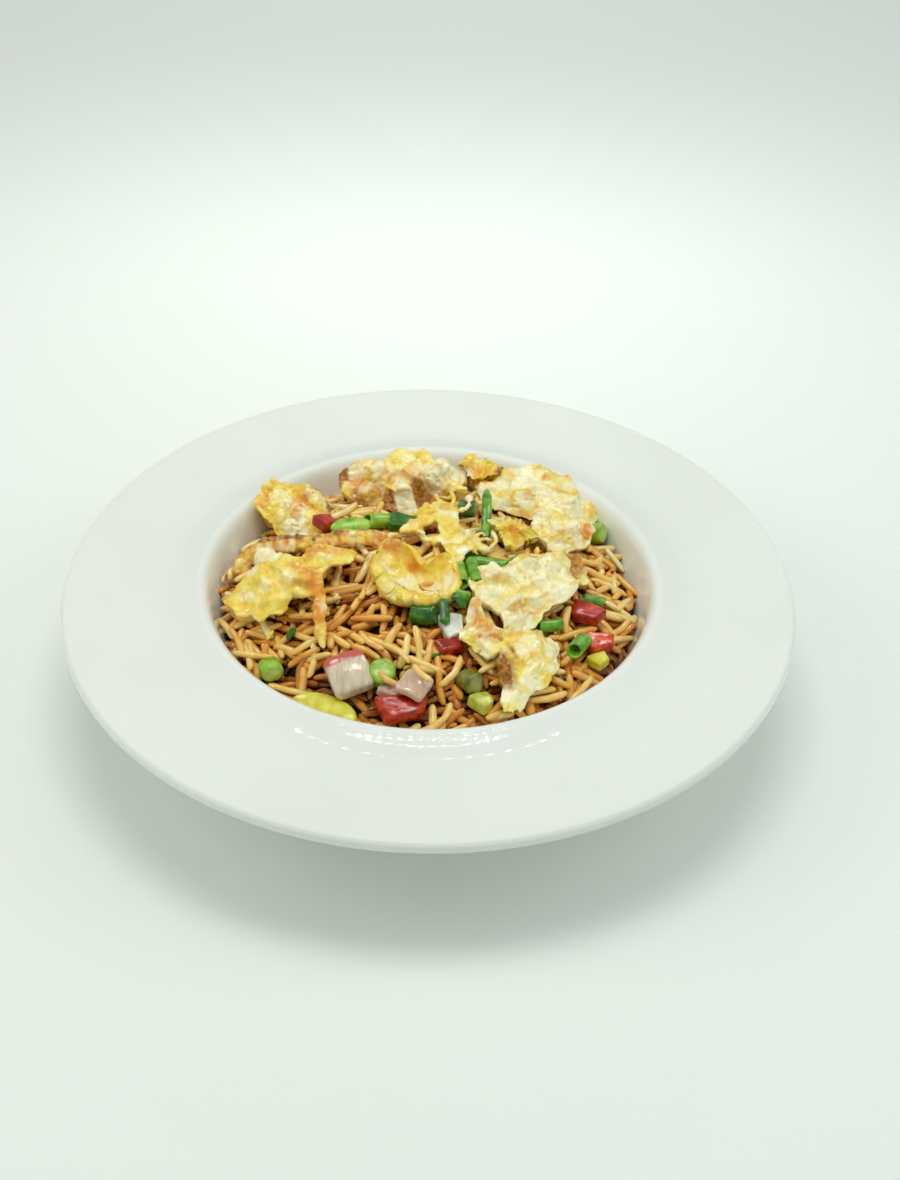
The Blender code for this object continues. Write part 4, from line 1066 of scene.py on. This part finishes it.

# %% [markdown]
# The browned places follow where each piece touched the pan: mostly rims, undersides that show, and
# the edges of folds. The orange and brown in one hollow and in one fold groove are painted shade. The
# places are in millimetres from the middle of the plate.
# %% Colours of each piece of egg
egg_colours = {
    # Back left: the orange bell at (-55, 36) and the brown one at (-53.5, 35) are painted shade in the
    # hollow.
    "egg_back_left": dict(
        white=[((-52, 29), (4, 4), 0, 0.8), ((-57, 44), (5, 5), 0, 0.3)],
        orange=[((-51, 44), (6, 5), 0, 0.5), ((-55, 36), (3, 5), 0, 0.5), ((-67, 44), (2, 8), -20, 0.4)],
        brown=[((-44.5, 50), (4, 2.4), 30, 1.0), ((-53.5, 35), (2, 3.4), 0, 0.7),
               ((-41, 43), (1.6, 5), 0, 0.9)]),
    "egg_back_middle": dict(
        base_white=0.45,
        white=[((-11, 47), (3, 8), 24, 0.9), ((2, 60), (8, 5), 0, 0.5), ((-18, 60), (7, 4), 0, 0.4)],
        orange=[((-30, 56), (4, 9), 0, 0.5), ((-19, 52), (8, 4), 0, 0.4), ((-2, 53), (8, 3.4), 0, 0.4)],
        brown=[((-22, 44.5), (9, 6.5), 12, 1.7), ((-21, 48), (4.4, 2.0), 12, -0.9),
               ((2, 45), (10, 6.5), -8, 1.7), ((-11.5, 47), (2.4, 9), 24, -2.6),
               ((-36, 60), (2.4, 6), 0, 1.1), ((-29, 47), (2, 5), 20, 0.9), ((11, 49), (3, 1.6), 0, 0.6)]),
    "egg_back_small": dict(
        orange=[((20, 65), (8, 3), 0, 0.4)],
        brown=[((29, 66), (3, 3), 0, 1.0), ((12, 65), (3, 3), 0, 0.9)]),
    "egg_back_right": dict(
        base_white=0.5,
        white=[((40, 56), (6, 5), 0, 0.5), ((55, 44), (7, 5), 0, 0.4)],
        orange=[((47, 60), (2.4, 2.4), 0, 0.6), ((37, 43), (2, 5), 20, 0.4), ((52, 55), (10, 5), -30, 0.16)],
        brown=[((67, 35), (2, 2), 0, 0.6)]),
    "egg_right_fold": dict(
        base_white=0.55,
        orange=[((61, 27), (3, 4), 0, 0.8), ((50, 26), (2, 2), 0, 0.4)]),
    "egg_crumbs": dict(
        orange=[((33, 19), (4, 3), 0, 0.4)], brown=[((41, 17), (3, 2), 0, 0.4)]),
    "egg_brown_chunk": dict(
        base_white=0.1, orange=[((56, 2), (9, 9), 0, 0.7)],
        brown=[((56, 1), (7, 9), 0, 0.75)]),
    "egg_right_lower": dict(
        base_white=0.35,
        white=[((32, -66), (4, 5), 0, 0.6), ((37, -50), (6, 7), 0, 0.3)],
        brown=[((27.5, -57), (2.6, 7), 20, 1.4), ((30, -50), (1.4, 5), 20, 0.7)]),
    "egg_centre_fold": dict(
        base_white=0.12,
        white=[((3, -15), (7, 8), 0, 0.6), ((-9, -12), (2.4, 9), -40, 0.8)],
        orange=[((-16, 0), (6, 2.6), 20, 0.6), ((-7, -2), (3, 2), 0, 0.5), ((3, -2), (3, 2), 0, 0.4)]),
    "egg_web": dict(
        base_white=0.3, orange=[((6, 30), (3, 3), 0, 0.3)]),
    "egg_left": dict(
        base_white=0.1,
        white=[(knob_place, (6, 6), 0, 1.0), ((-60, -16), (6, 5), 0, 0.4)],
        orange=[((-41, 3), (9, 3), -14, 0.8), ((-42, -26), (4, 16), 8, 0.7), ((-50, -8), (6, 4), -20, 0.3)],
        brown=[((-61, -2.5), (1.2, 1.2), 0, 0.9), ((-44, -6), (5, 1.5), -30, 0.5),
               ((-50, -18), (3, 2), 0, 0.4)]),
    # Largest piece: the thin orange band at (34, -32) is painted shade in the groove of its fold.
    "egg_right_large": dict(
        base_white=0.55,
        white=[((40, -12), (10, 8), 0, 0.5), ((24, -30), (6, 5), 0, 0.4)],
        orange=[((18, -36), (3, 8), 10, 0.55), ((24, -44), (6, 3), 0, 0.5), ((34, -32), (10, 1.6), 30, 0.5),
                ((22, -14), (4, 3), 0, 0.4), ((46, -22), (5, 2), 0, 0.3)],
        brown=[((20, -30), (1.2, 3), 0, 0.5), ((26, -45), (3, 1), 0, 0.6)]),
}
for name, colours in egg_colours.items():
    paint_egg(egg_pieces[name], **colours)
print("egg painted:", len(egg_colours), "pieces")

# %% [markdown]
# The strip stood in the hot fat. It is barred across, brown along its upper edge and darkest at its
# left end.
# %% Colours of the strip
strip_points = places(strip)
strip_bars = 0.5 + 0.8 * noise(strip_points * (1.0, 0.25, 0.2), 1.3, 5)
above_rice = strip_points[:, 2] - rice_height(strip_points[:, 0], strip_points[:, 1])
strip_up = np.clip((above_rice - 5.2) / 3.0, 0, 1)
left_end = np.clip((-66 - strip_points[:, 0]) / 8, 0, 1)
strip_brown = 0.9 * strip_up ** 5 + 0.4 * np.clip(strip_bars - 0.8, 0, 1) + 0.6 * left_end * strip_bars
paint(strip, white=np.clip(0.35 + 0.45 * noise(strip_points, 5.0, 9), 0, 1),
      orange=np.clip(0.06 + 0.6 * strip_bars + 0.15 * strip_up, 0, 1), brown=np.clip(strip_brown, 0, 1))
print("strip: brown on", round(100 * float((strip_brown > 0.5).mean())), "% of its points")

# %% [markdown]
# The vegetables are cut small. A block with soft corners serves for pepper and squash, the same
# block bowed both ways for a layer of onion, a barrel for a slice of bean, and a tube whose ends are
# cut on a slant for hollow leaves.
# %% Vegetable shapes
TUBE_LOOP, TUBE_AROUND = 40, 28
TUBE_WALL, TUBE_SLANT = 1.0, 0.5


def bowed(bow, size):
    """Bend a block: its far parts sink with the square of their distance from the middle."""
    def bend(points):
        u, v = points[:, 0] / size[0] * 2, points[:, 1] / size[1] * 2
        return points - np.stack([0 * u, 0 * v, bow * (0.6 * u ** 2 + v ** 2)], -1)
    return bend


def skewed(amount):
    """Make a block wider at one end, as a knife leaves it."""
    def shear(points):
        reach = np.abs(points).max(axis=0)
        x = points[:, 0] * (1 + amount * points[:, 1] / reach[1])
        y = points[:, 1] * (1 - amount * points[:, 0] / reach[0])
        return np.stack([x, y, points[:, 2]], -1)
    return shear


def tube_skin(place, radius, length, turn, tilt=(0, 0), oval=0.85, seed=0):
    """A hollow leaf: the section of its wall, a rounded loop, carried round the leaf's own axis."""
    across_wall = 2 * np.pi * np.arange(TUBE_LOOP) / TUBE_LOOP
    around = 2 * np.pi * np.arange(TUBE_AROUND) / TUBE_AROUND
    along = soft_power(np.cos(across_wall), 0.25)[:, None] * length / 2
    ring = radius - TUBE_WALL / 2 + soft_power(np.sin(across_wall), 0.6)[:, None] * TUBE_WALL / 2
    y, z = ring * np.cos(around), ring * oval * np.sin(around)
    local = np.stack([along + TUBE_SLANT * z, y, z], -1)
    local = local * (1 + 0.12 * noise(local + 9.0 * seed, 3.2, seed))[..., None]
    whole = local.reshape(-1, 3) @ turned(tilt, turn).T + np.array(place, float)
    quads = grid_faces(TUBE_LOOP + 1, TUBE_AROUND) % (TUBE_LOOP * TUBE_AROUND)  # the last ring is the first
    return whole, quads, np.zeros((0, 3), int)


print("a tube has", TUBE_LOOP * TUBE_AROUND, "faces")

# %% [markdown]
# Wet plants have a tone that changes from place to place, a paler cut face, fine relief and a sheen.
# Where a piece was cut, a painted value says so. The red skin of an onion is painted too, on pale
# flesh with fibres that run along the layer.
# %% Vegetable finishes
CUT_TINT = (235, 232, 170)


def plant_finish(name, shade, mid, light, roughness=0.28):
    """Three tones of one colour picked by noise, a paler cut face where painted, and a wet sheen."""
    finish = Finish(name, roughness, Subsurface_Weight=0.12, Subsurface_Scale=0.0015, Coat_Weight=0.3,
                    Coat_Roughness=0.1)
    tones = finish.ramp(finish.noise(260.0, 4.0), (0.28, shade), (0.5, mid), (0.75, light))
    pale_face = tuple(int(0.45 * c + 0.55 * p) for c, p in zip(light, CUT_TINT))
    finish.colour(finish.mix(finish.painted("cut"), tones, pale_face))
    finish.bump(finish.noise(1400.0, 3.0), 0.10)
    return finish.material


LEAF = plant_finish("light_green_bean", (96, 150, 18), (140, 190, 40), (184, 214, 86))
OLIVE = plant_finish("olive_bean", (84, 86, 22), (116, 118, 38), (142, 148, 60))
GREEN = plant_finish("spring_onion_green", (54, 104, 8), (94, 156, 24), (152, 198, 68))
DARK = plant_finish("dark_leaf", (22, 66, 8), (40, 106, 18), (92, 150, 44))
BLUE = plant_finish("blue_green_bean", (34, 84, 30), (64, 120, 50), (116, 162, 84))
RED = plant_finish("red_pepper_flesh", (116, 12, 0), (176, 32, 6), (212, 74, 26), 0.16)
ORANGE_RED = plant_finish("pale_red_pepper", (176, 40, 8), (212, 66, 18), (232, 110, 52), 0.18)
SQUASH = plant_finish("yellow_squash", (188, 176, 14), (214, 206, 40), (232, 226, 96), 0.3)
LIME = plant_finish("pale_squash", (156, 166, 42), (190, 196, 74), (220, 222, 118))
WHITE_FLESH = plant_finish("white_stem", (196, 200, 182), (222, 226, 208), (240, 242, 230))

onion_finish = Finish("red_onion", 0.14, Subsurface_Weight=0.25, Subsurface_Scale=0.003, Coat_Weight=0.4,
                      Coat_Roughness=0.1)
FIBRES = (3.2, 0.6, 1)
fibres = onion_finish.ramp(onion_finish.noise(150.0, 3.0, FIBRES), (0.25, (196, 176, 146)),
                           (0.5, (218, 202, 176)), (0.78, (238, 228, 208)))
onion_finish.colour(onion_finish.mix(onion_finish.painted("skin"), fibres, (196, 62, 58)))
onion_finish.bump(onion_finish.noise(300.0, 3.0, FIBRES), 0.25)
ONION = onion_finish.material
print("finishes so far:", len(bpy.data.materials))

# %% [markdown]
# Each vegetable is named after the solid that it stands for. It is placed by its x and y, and by how
# far its middle lies above the ground of the heap.
# %% Helpers that place vegetables


def add(name, material, slot, shape, cut=0.0, **painted):
    """One vegetable in place of the solid of the same name; cut says where its pale face shows."""
    amounts = np.broadcast_to(cut, len(shape[0]))
    return make_piece("cut_" + name, [shape], material, slot, name, cut=amounts, **painted)


def block(name, material, slot, place, size, turn, tilt=(0, 0), lift=0.0, seed=0):
    """A cube of pepper, squash or stem: a block with soft corners, a little wider at one end."""
    return add(name, material, slot, blob_skin(
        on_rice(*place, lift), size, (0.32, 0.32), turn, tilt, 0.3, seed, shape=skewed(0.2)))


def slice_of(name, material, place, radius, length, turn, tilt, lift, oval=1.0, seed=0):
    """A slice of bean: a barrel, painted pale within its radius on both of its ends."""
    middle = on_rice(*place, lift)
    skin = blob_skin(middle, (2 * radius, 2 * radius * oval, length), (0.36, 0.9), turn, tilt, 0.4, seed)
    own = (skin[0] - np.array(middle)) @ turned(tilt, turn)
    face = np.clip((np.abs(own[:, 2]) - 0.42 * length) / (0.06 * length), 0, 1)
    heart = np.clip(1 - np.hypot(own[:, 0], own[:, 1] / oval) / (0.86 * radius), 0, 1) ** 0.5
    return add(name, material, "green_bean", skin, 0.75 * face * heart)


def tube(name, material, place, radius, length, turn, tilt, lift, oval=0.85, seed=0):
    """A hollow piece of spring onion or leek."""
    return add(name, material, "spring_onion", tube_skin(
        on_rice(*place, lift), radius, length, turn, tilt, oval, seed))


def stalk(name, material, stops, width, thick, lean, seed=0):
    """A length of chive: a thick ribbon along a path."""
    return add(name, material, "spring_onion", ribbon_skin(stops, width, thick, lean, 60, 20, seed, 0.12))


def layer(name, material, slot, place, size, turn, tilt, lift, bow, thick, seed, skin_edge=0.0, plan=0.34,
          rough=0.12):
    """A bowed slab; skin_edge paints the outermost part of one end as the onion's red skin."""
    middle = on_rice(*place, lift - thick / 2)
    skin = blob_skin(middle, (*size, thick), (0.3, plan), turn, tilt, rough, seed, 30, 60, bowed(bow, size))
    own = (skin[0] - np.array(middle)) @ turned(tilt, turn)
    edge = np.clip((own[:, 1] / size[1] * 2 - (1 - skin_edge)) / 0.1, 0, 1)
    return add(name, material, slot, skin, skin=0.9 * edge if skin_edge else 0.22 + 0 * edge)


print("helpers: block, slice_of, tube, stalk, layer")

# %% [markdown]
# Round slices of bean, and cubes of pepper, squash and stem. The numbers are the place, the size,
# the turn about the upright axis, the tilt, the height and the seed of the roughness.
# %% Slices and cubes
slice_of("bean_left", LEAF, (-57.5, -47.5), 4.1, 7.5, 20, (80, 0), 1.8, 0.9, 1)
slice_of("bean_slice", LEAF, (-16.5, -56.5), 4.8, 6.5, 10, (28, 0), 3.4, 1.0, 2)
slice_of("olive_bean", OLIVE, (15, -59), 4.0, 8, 35, (75, 0), 1.2, 1.0, 3)
slice_of("bean_dark", DARK, (-2, -29.5), 3.8, 10, 80, (82, 0), 0.8, 1.0, 4)
slice_of("leek_slice", GREEN, (12.6, -22.5), 3.2, 4.5, 60, (0, 35), 2.4, 1.0, 5)
slice_of("bean_blue", BLUE, (15, 38.5), 3.8, 7, 80, (80, 0), 2.6, 0.85, 6)
slice_of("bean_right_back", LEAF, (68, 38), 4.0, 6, 60, (70, 0), 3.0, 1.0, 7)
block("red_pepper_front", RED, "red_pepper", (-9, -70), (17, 9, 6), 10, (20, 0), 1.4, 8)
block("red_pepper_upper", RED, "red_pepper", (59.5, -21), (12, 7.5, 5.5), -24, (12, 0), 2.4, 9)
block("red_pepper_lower", ORANGE_RED, "red_pepper", (63.5, -33.5), (11, 8, 5.5), 14, (10, 8), 2.0, 10)
block("red_bit_middle", RED, "red_pepper", (8, -44), (10, 6, 4), 15, lift=0.2, seed=11)
block("red_pepper_back", RED, "red_pepper", (-42, 30), (7, 7, 5), 40, (0, 14), 3.0, 12)
block("squash_bit_front", LIME, "squash", (19.5, -66), (7.5, 7.5, 5), 40, (0, 12), 1.4, 13)
block("squash_right", SQUASH, "squash", (63, -41.5), (7, 6, 4), 35, lift=0.4, seed=14)
block("white_chunk", WHITE_FLESH, "onion", (8.5, -35.5), (8, 11, 6), 12, (10, 0), 2.2, 15)
block("leek_dark", DARK, "spring_onion", (25, -4.8), (7.5, 6, 4.5), 20, (0, 8), 2.0, 16)
block("leek_bit", GREEN, "spring_onion", (33, 2.2), (5.5, 5, 4), 50, lift=1.8, seed=17)
block("dark_green_back", DARK, "spring_onion", (-11, 27.5), (11, 8, 4), -20, lift=2.2, seed=18)

# %% [markdown]
# Hollow leaves are tubes, solid ones are thick ribbons. The layers of onion, the slice of squash and
# one leaf of bean are bowed slabs.
# %% Leaves, stalks and layers
tube("spring_onion_upper", GREEN, (62, -13.5), 2.3, 8, -12, (0, 6), 3.6, seed=1)
tube("spring_onion_lower", GREEN, (55.4, -38.5), 3.2, 8.5, 62, (0, 8), 2.6, 0.75, 2)
tube("spring_onion_under_egg", GREEN, (44, -31), 2.8, 9, 22, (0, 8), 2.2, seed=3)
tube("leek_left", LEAF, (11.8, -10), 2.5, 13, 97, (0, 4), 3.0, seed=4)
tube("leek_right", GREEN, (17.0, -9.5), 2.4, 15, 100, (0, 4), 3.2, seed=5)
tube("leek_across", GREEN, (21.5, 2.0), 2.5, 14, -8, (0, 2), 3.0, seed=6)
tube("spring_onion_back", LEAF, (-21, 30), 3.4, 10, 20, (0, 12), 4.0, seed=7)
stalk("chive_down", DARK, [(5.2, -27, 6.4), (5.6, -33, 6.2), (5.8, -38, 5.4)], 4.0, 2.2, 8, 31)
stalk("chive_across", DARK, [(8.0, -26, 6.6), (10.5, -27.2, 6.6), (13.2, -30, 5.6)], 3.8, 2.2, 8, 32)
stalk("chive_long", GREEN, [(21.8, 15, 3.6), (22.2, 28, 6.0), (22.6, 44, 11.0)], 4.0, 3.4, 10, 33)
layer("onion_chunk", ONION, "onion", (-28.5, -57), (15.5, 16.5), 22, (16, -8), 5.2, 1.6, 5.5, 41, 0.62)
layer("onion_petal", ONION, "onion", (-4.5, -63), (14, 11), 68, (12, 6), 6.0, 1.4, 2.6, 42)
layer("onion_strip", ONION, "onion", (-13.5, -62.5), (9, 5), -25, (0, 10), 3.0, 0.6, 3.5, 43)
layer("squash_slice", SQUASH, "squash", (-37.3, -68.0), (26, 14), -25, (18, 0), 1.2, 1.0, 3.4, 44,
      plan=0.95, rough=0.03)
layer("bean_leaf_back", LEAF, "green_bean", (-31.2, 25), (17, 8.4), 12, (24, 0), 4.2, 1.0, 2.4, 45, plan=1.2)

# %% [markdown]
# Last come the crumbs: chopped chive, and flecks of pepper, squash and egg. Some lie at chosen spots
# and the rest by chance. A few loose grains lie on top of the vegetables.
# %% Crumbs and loose grains
crumb_rng = np.random.default_rng(5)
CRUMB_RADIUS = 76.0


def crumbs(name, material, slot, count, size, seed, spots):
    """Small chips scattered on top of the grains: each lies on the highest grain at its place."""
    skins = []
    for k in range(count + len(spots)):
        radius, bearing = CRUMB_RADIUS * np.sqrt(crumb_rng.random()), crumb_rng.random() * 2 * np.pi
        x, y = (radius * np.cos(bearing), radius * np.sin(bearing)) if k < count else spots[k - count]
        scale = size * (0.7 + 0.6 * crumb_rng.random())
        cell = cell_at(x, y)
        if k < count and covered[cell][0]:
            continue
        tilt = tuple(crumb_rng.normal(0, 25, 2))
        skins.append(blob_skin((x, y, surface[cell][0] + 0.2), (1.9 * scale, 0.9 * scale, 0.5 * scale),
                               (0.6, 0.6), crumb_rng.random() * 360, tilt, 0.1, seed + k, 7, 9))
    make_piece(name, skins, material, slot, cut=np.zeros(sum(len(skin[0]) for skin in skins)))
    print(name, len(skins), "bits")


crumbs("chopped_chive", DARK, "spring_onion", 50, 2.2, 60,
       [(-50, -38), (-51, -34), (5, -52), (66, -6), (-49, -36), (3, -48), (-14, 33), (-8, 31), (-4, 27),
        (-16, 28)])
crumbs("light_green_flecks", LEAF, "spring_onion", 24, 1.8, 160, [(-62, -36), (2, -56), (-20, 33), (18, 10)])
crumbs("leek_bits", GREEN, "spring_onion", 0, 3.6, 460,
       [(8, -6), (14, -1), (26, 6), (30, -2), (11, 5), (15, -20), (24, -2), (18, 0), (20, -16), (8, -18),
        (27, 3), (16, 6), (-10, 34), (-26, 33), (12, -15)])
crumbs("leek_dark_bits", DARK, "spring_onion", 0, 3.4, 560,
       [(10, -2), (24, -10), (34, 6), (5, -22), (18, -20), (-5, 33), (-18, 36), (13, 3), (4, 22), (28, 8)])
crumbs("pepper_flecks", RED, "red_pepper", 16, 1.8, 260,
       [(25, -60), (-3, -45), (72, 12), (30, 36), (-22, -46)])
crumbs("squash_flecks", SQUASH, "squash", 8, 2.2, 360, [(-49.5, -51), (-48, -52)])
crumbs("egg_flecks", egg_finish.material, "egg", 14, 2.4, 660,
       [(24, 12), (28, 26), (24, 30), (-16, 20), (-9, 10), (18, 16), (-50, 24), (-53, 22), (30, 14),
        (42, 12)])
loose = np.array([
    (*on_rice(-2.5, -62.5, 7.6), 2.2, 0.0, 11.0, 2.6), (*on_rice(-11, -50.5, 5.0), -0.75, -0.1, 13.0, 2.4),
    (*on_rice(-14.5, -61.0, 5.6), -0.6, -0.2, 10.5, 2.7)])
make_grains("loose_grains", loose, 400)
print("loose grains:", len(loose))

# %% [markdown]
# Wet food sparkles, and glazed porcelain mirrors every lamp. Three small lamps give the food its
# sparkle alone: they are linked to the food, and they add highlights without any diffuse light.
# %% Sparkle on the food
FOOD_NAMES = ("fried_", "cut_", "rice_grains", "loose", "chopped", "light_green", "leek", "pepper", "squash",
              "egg")
food = bpy.data.collections.new("food")
for item in bpy.data.objects:
    if item.type == "MESH" and item.name.startswith(FOOD_NAMES):
        food.objects.link(item)
for k, place in enumerate(((-0.34, 0.42, 0.62), (0.30, 0.50, 0.60), (0.02, 0.16, 0.85))):
    sparkle = soft_lamp("sparkle_%d" % k, place, (0, 0, 0.05), 0.14, 0.14, 0.8, (1.0, 0.99, 0.95))
    sparkle.visible_diffuse = False
    sparkle.light_linking.receiver_collection = food

# %% [markdown]
# The number of triangles shown is printed at the end. The dressed plate has to stay in the box of
# the solids.
# %% Finish
import json
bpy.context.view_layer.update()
triangles = sum(len(item.data.loops) - 2 * len(item.data.polygons)
                for item in bpy.data.objects if item.type == "MESH" and not item.hide_render)
print("triangles shown:", triangles)
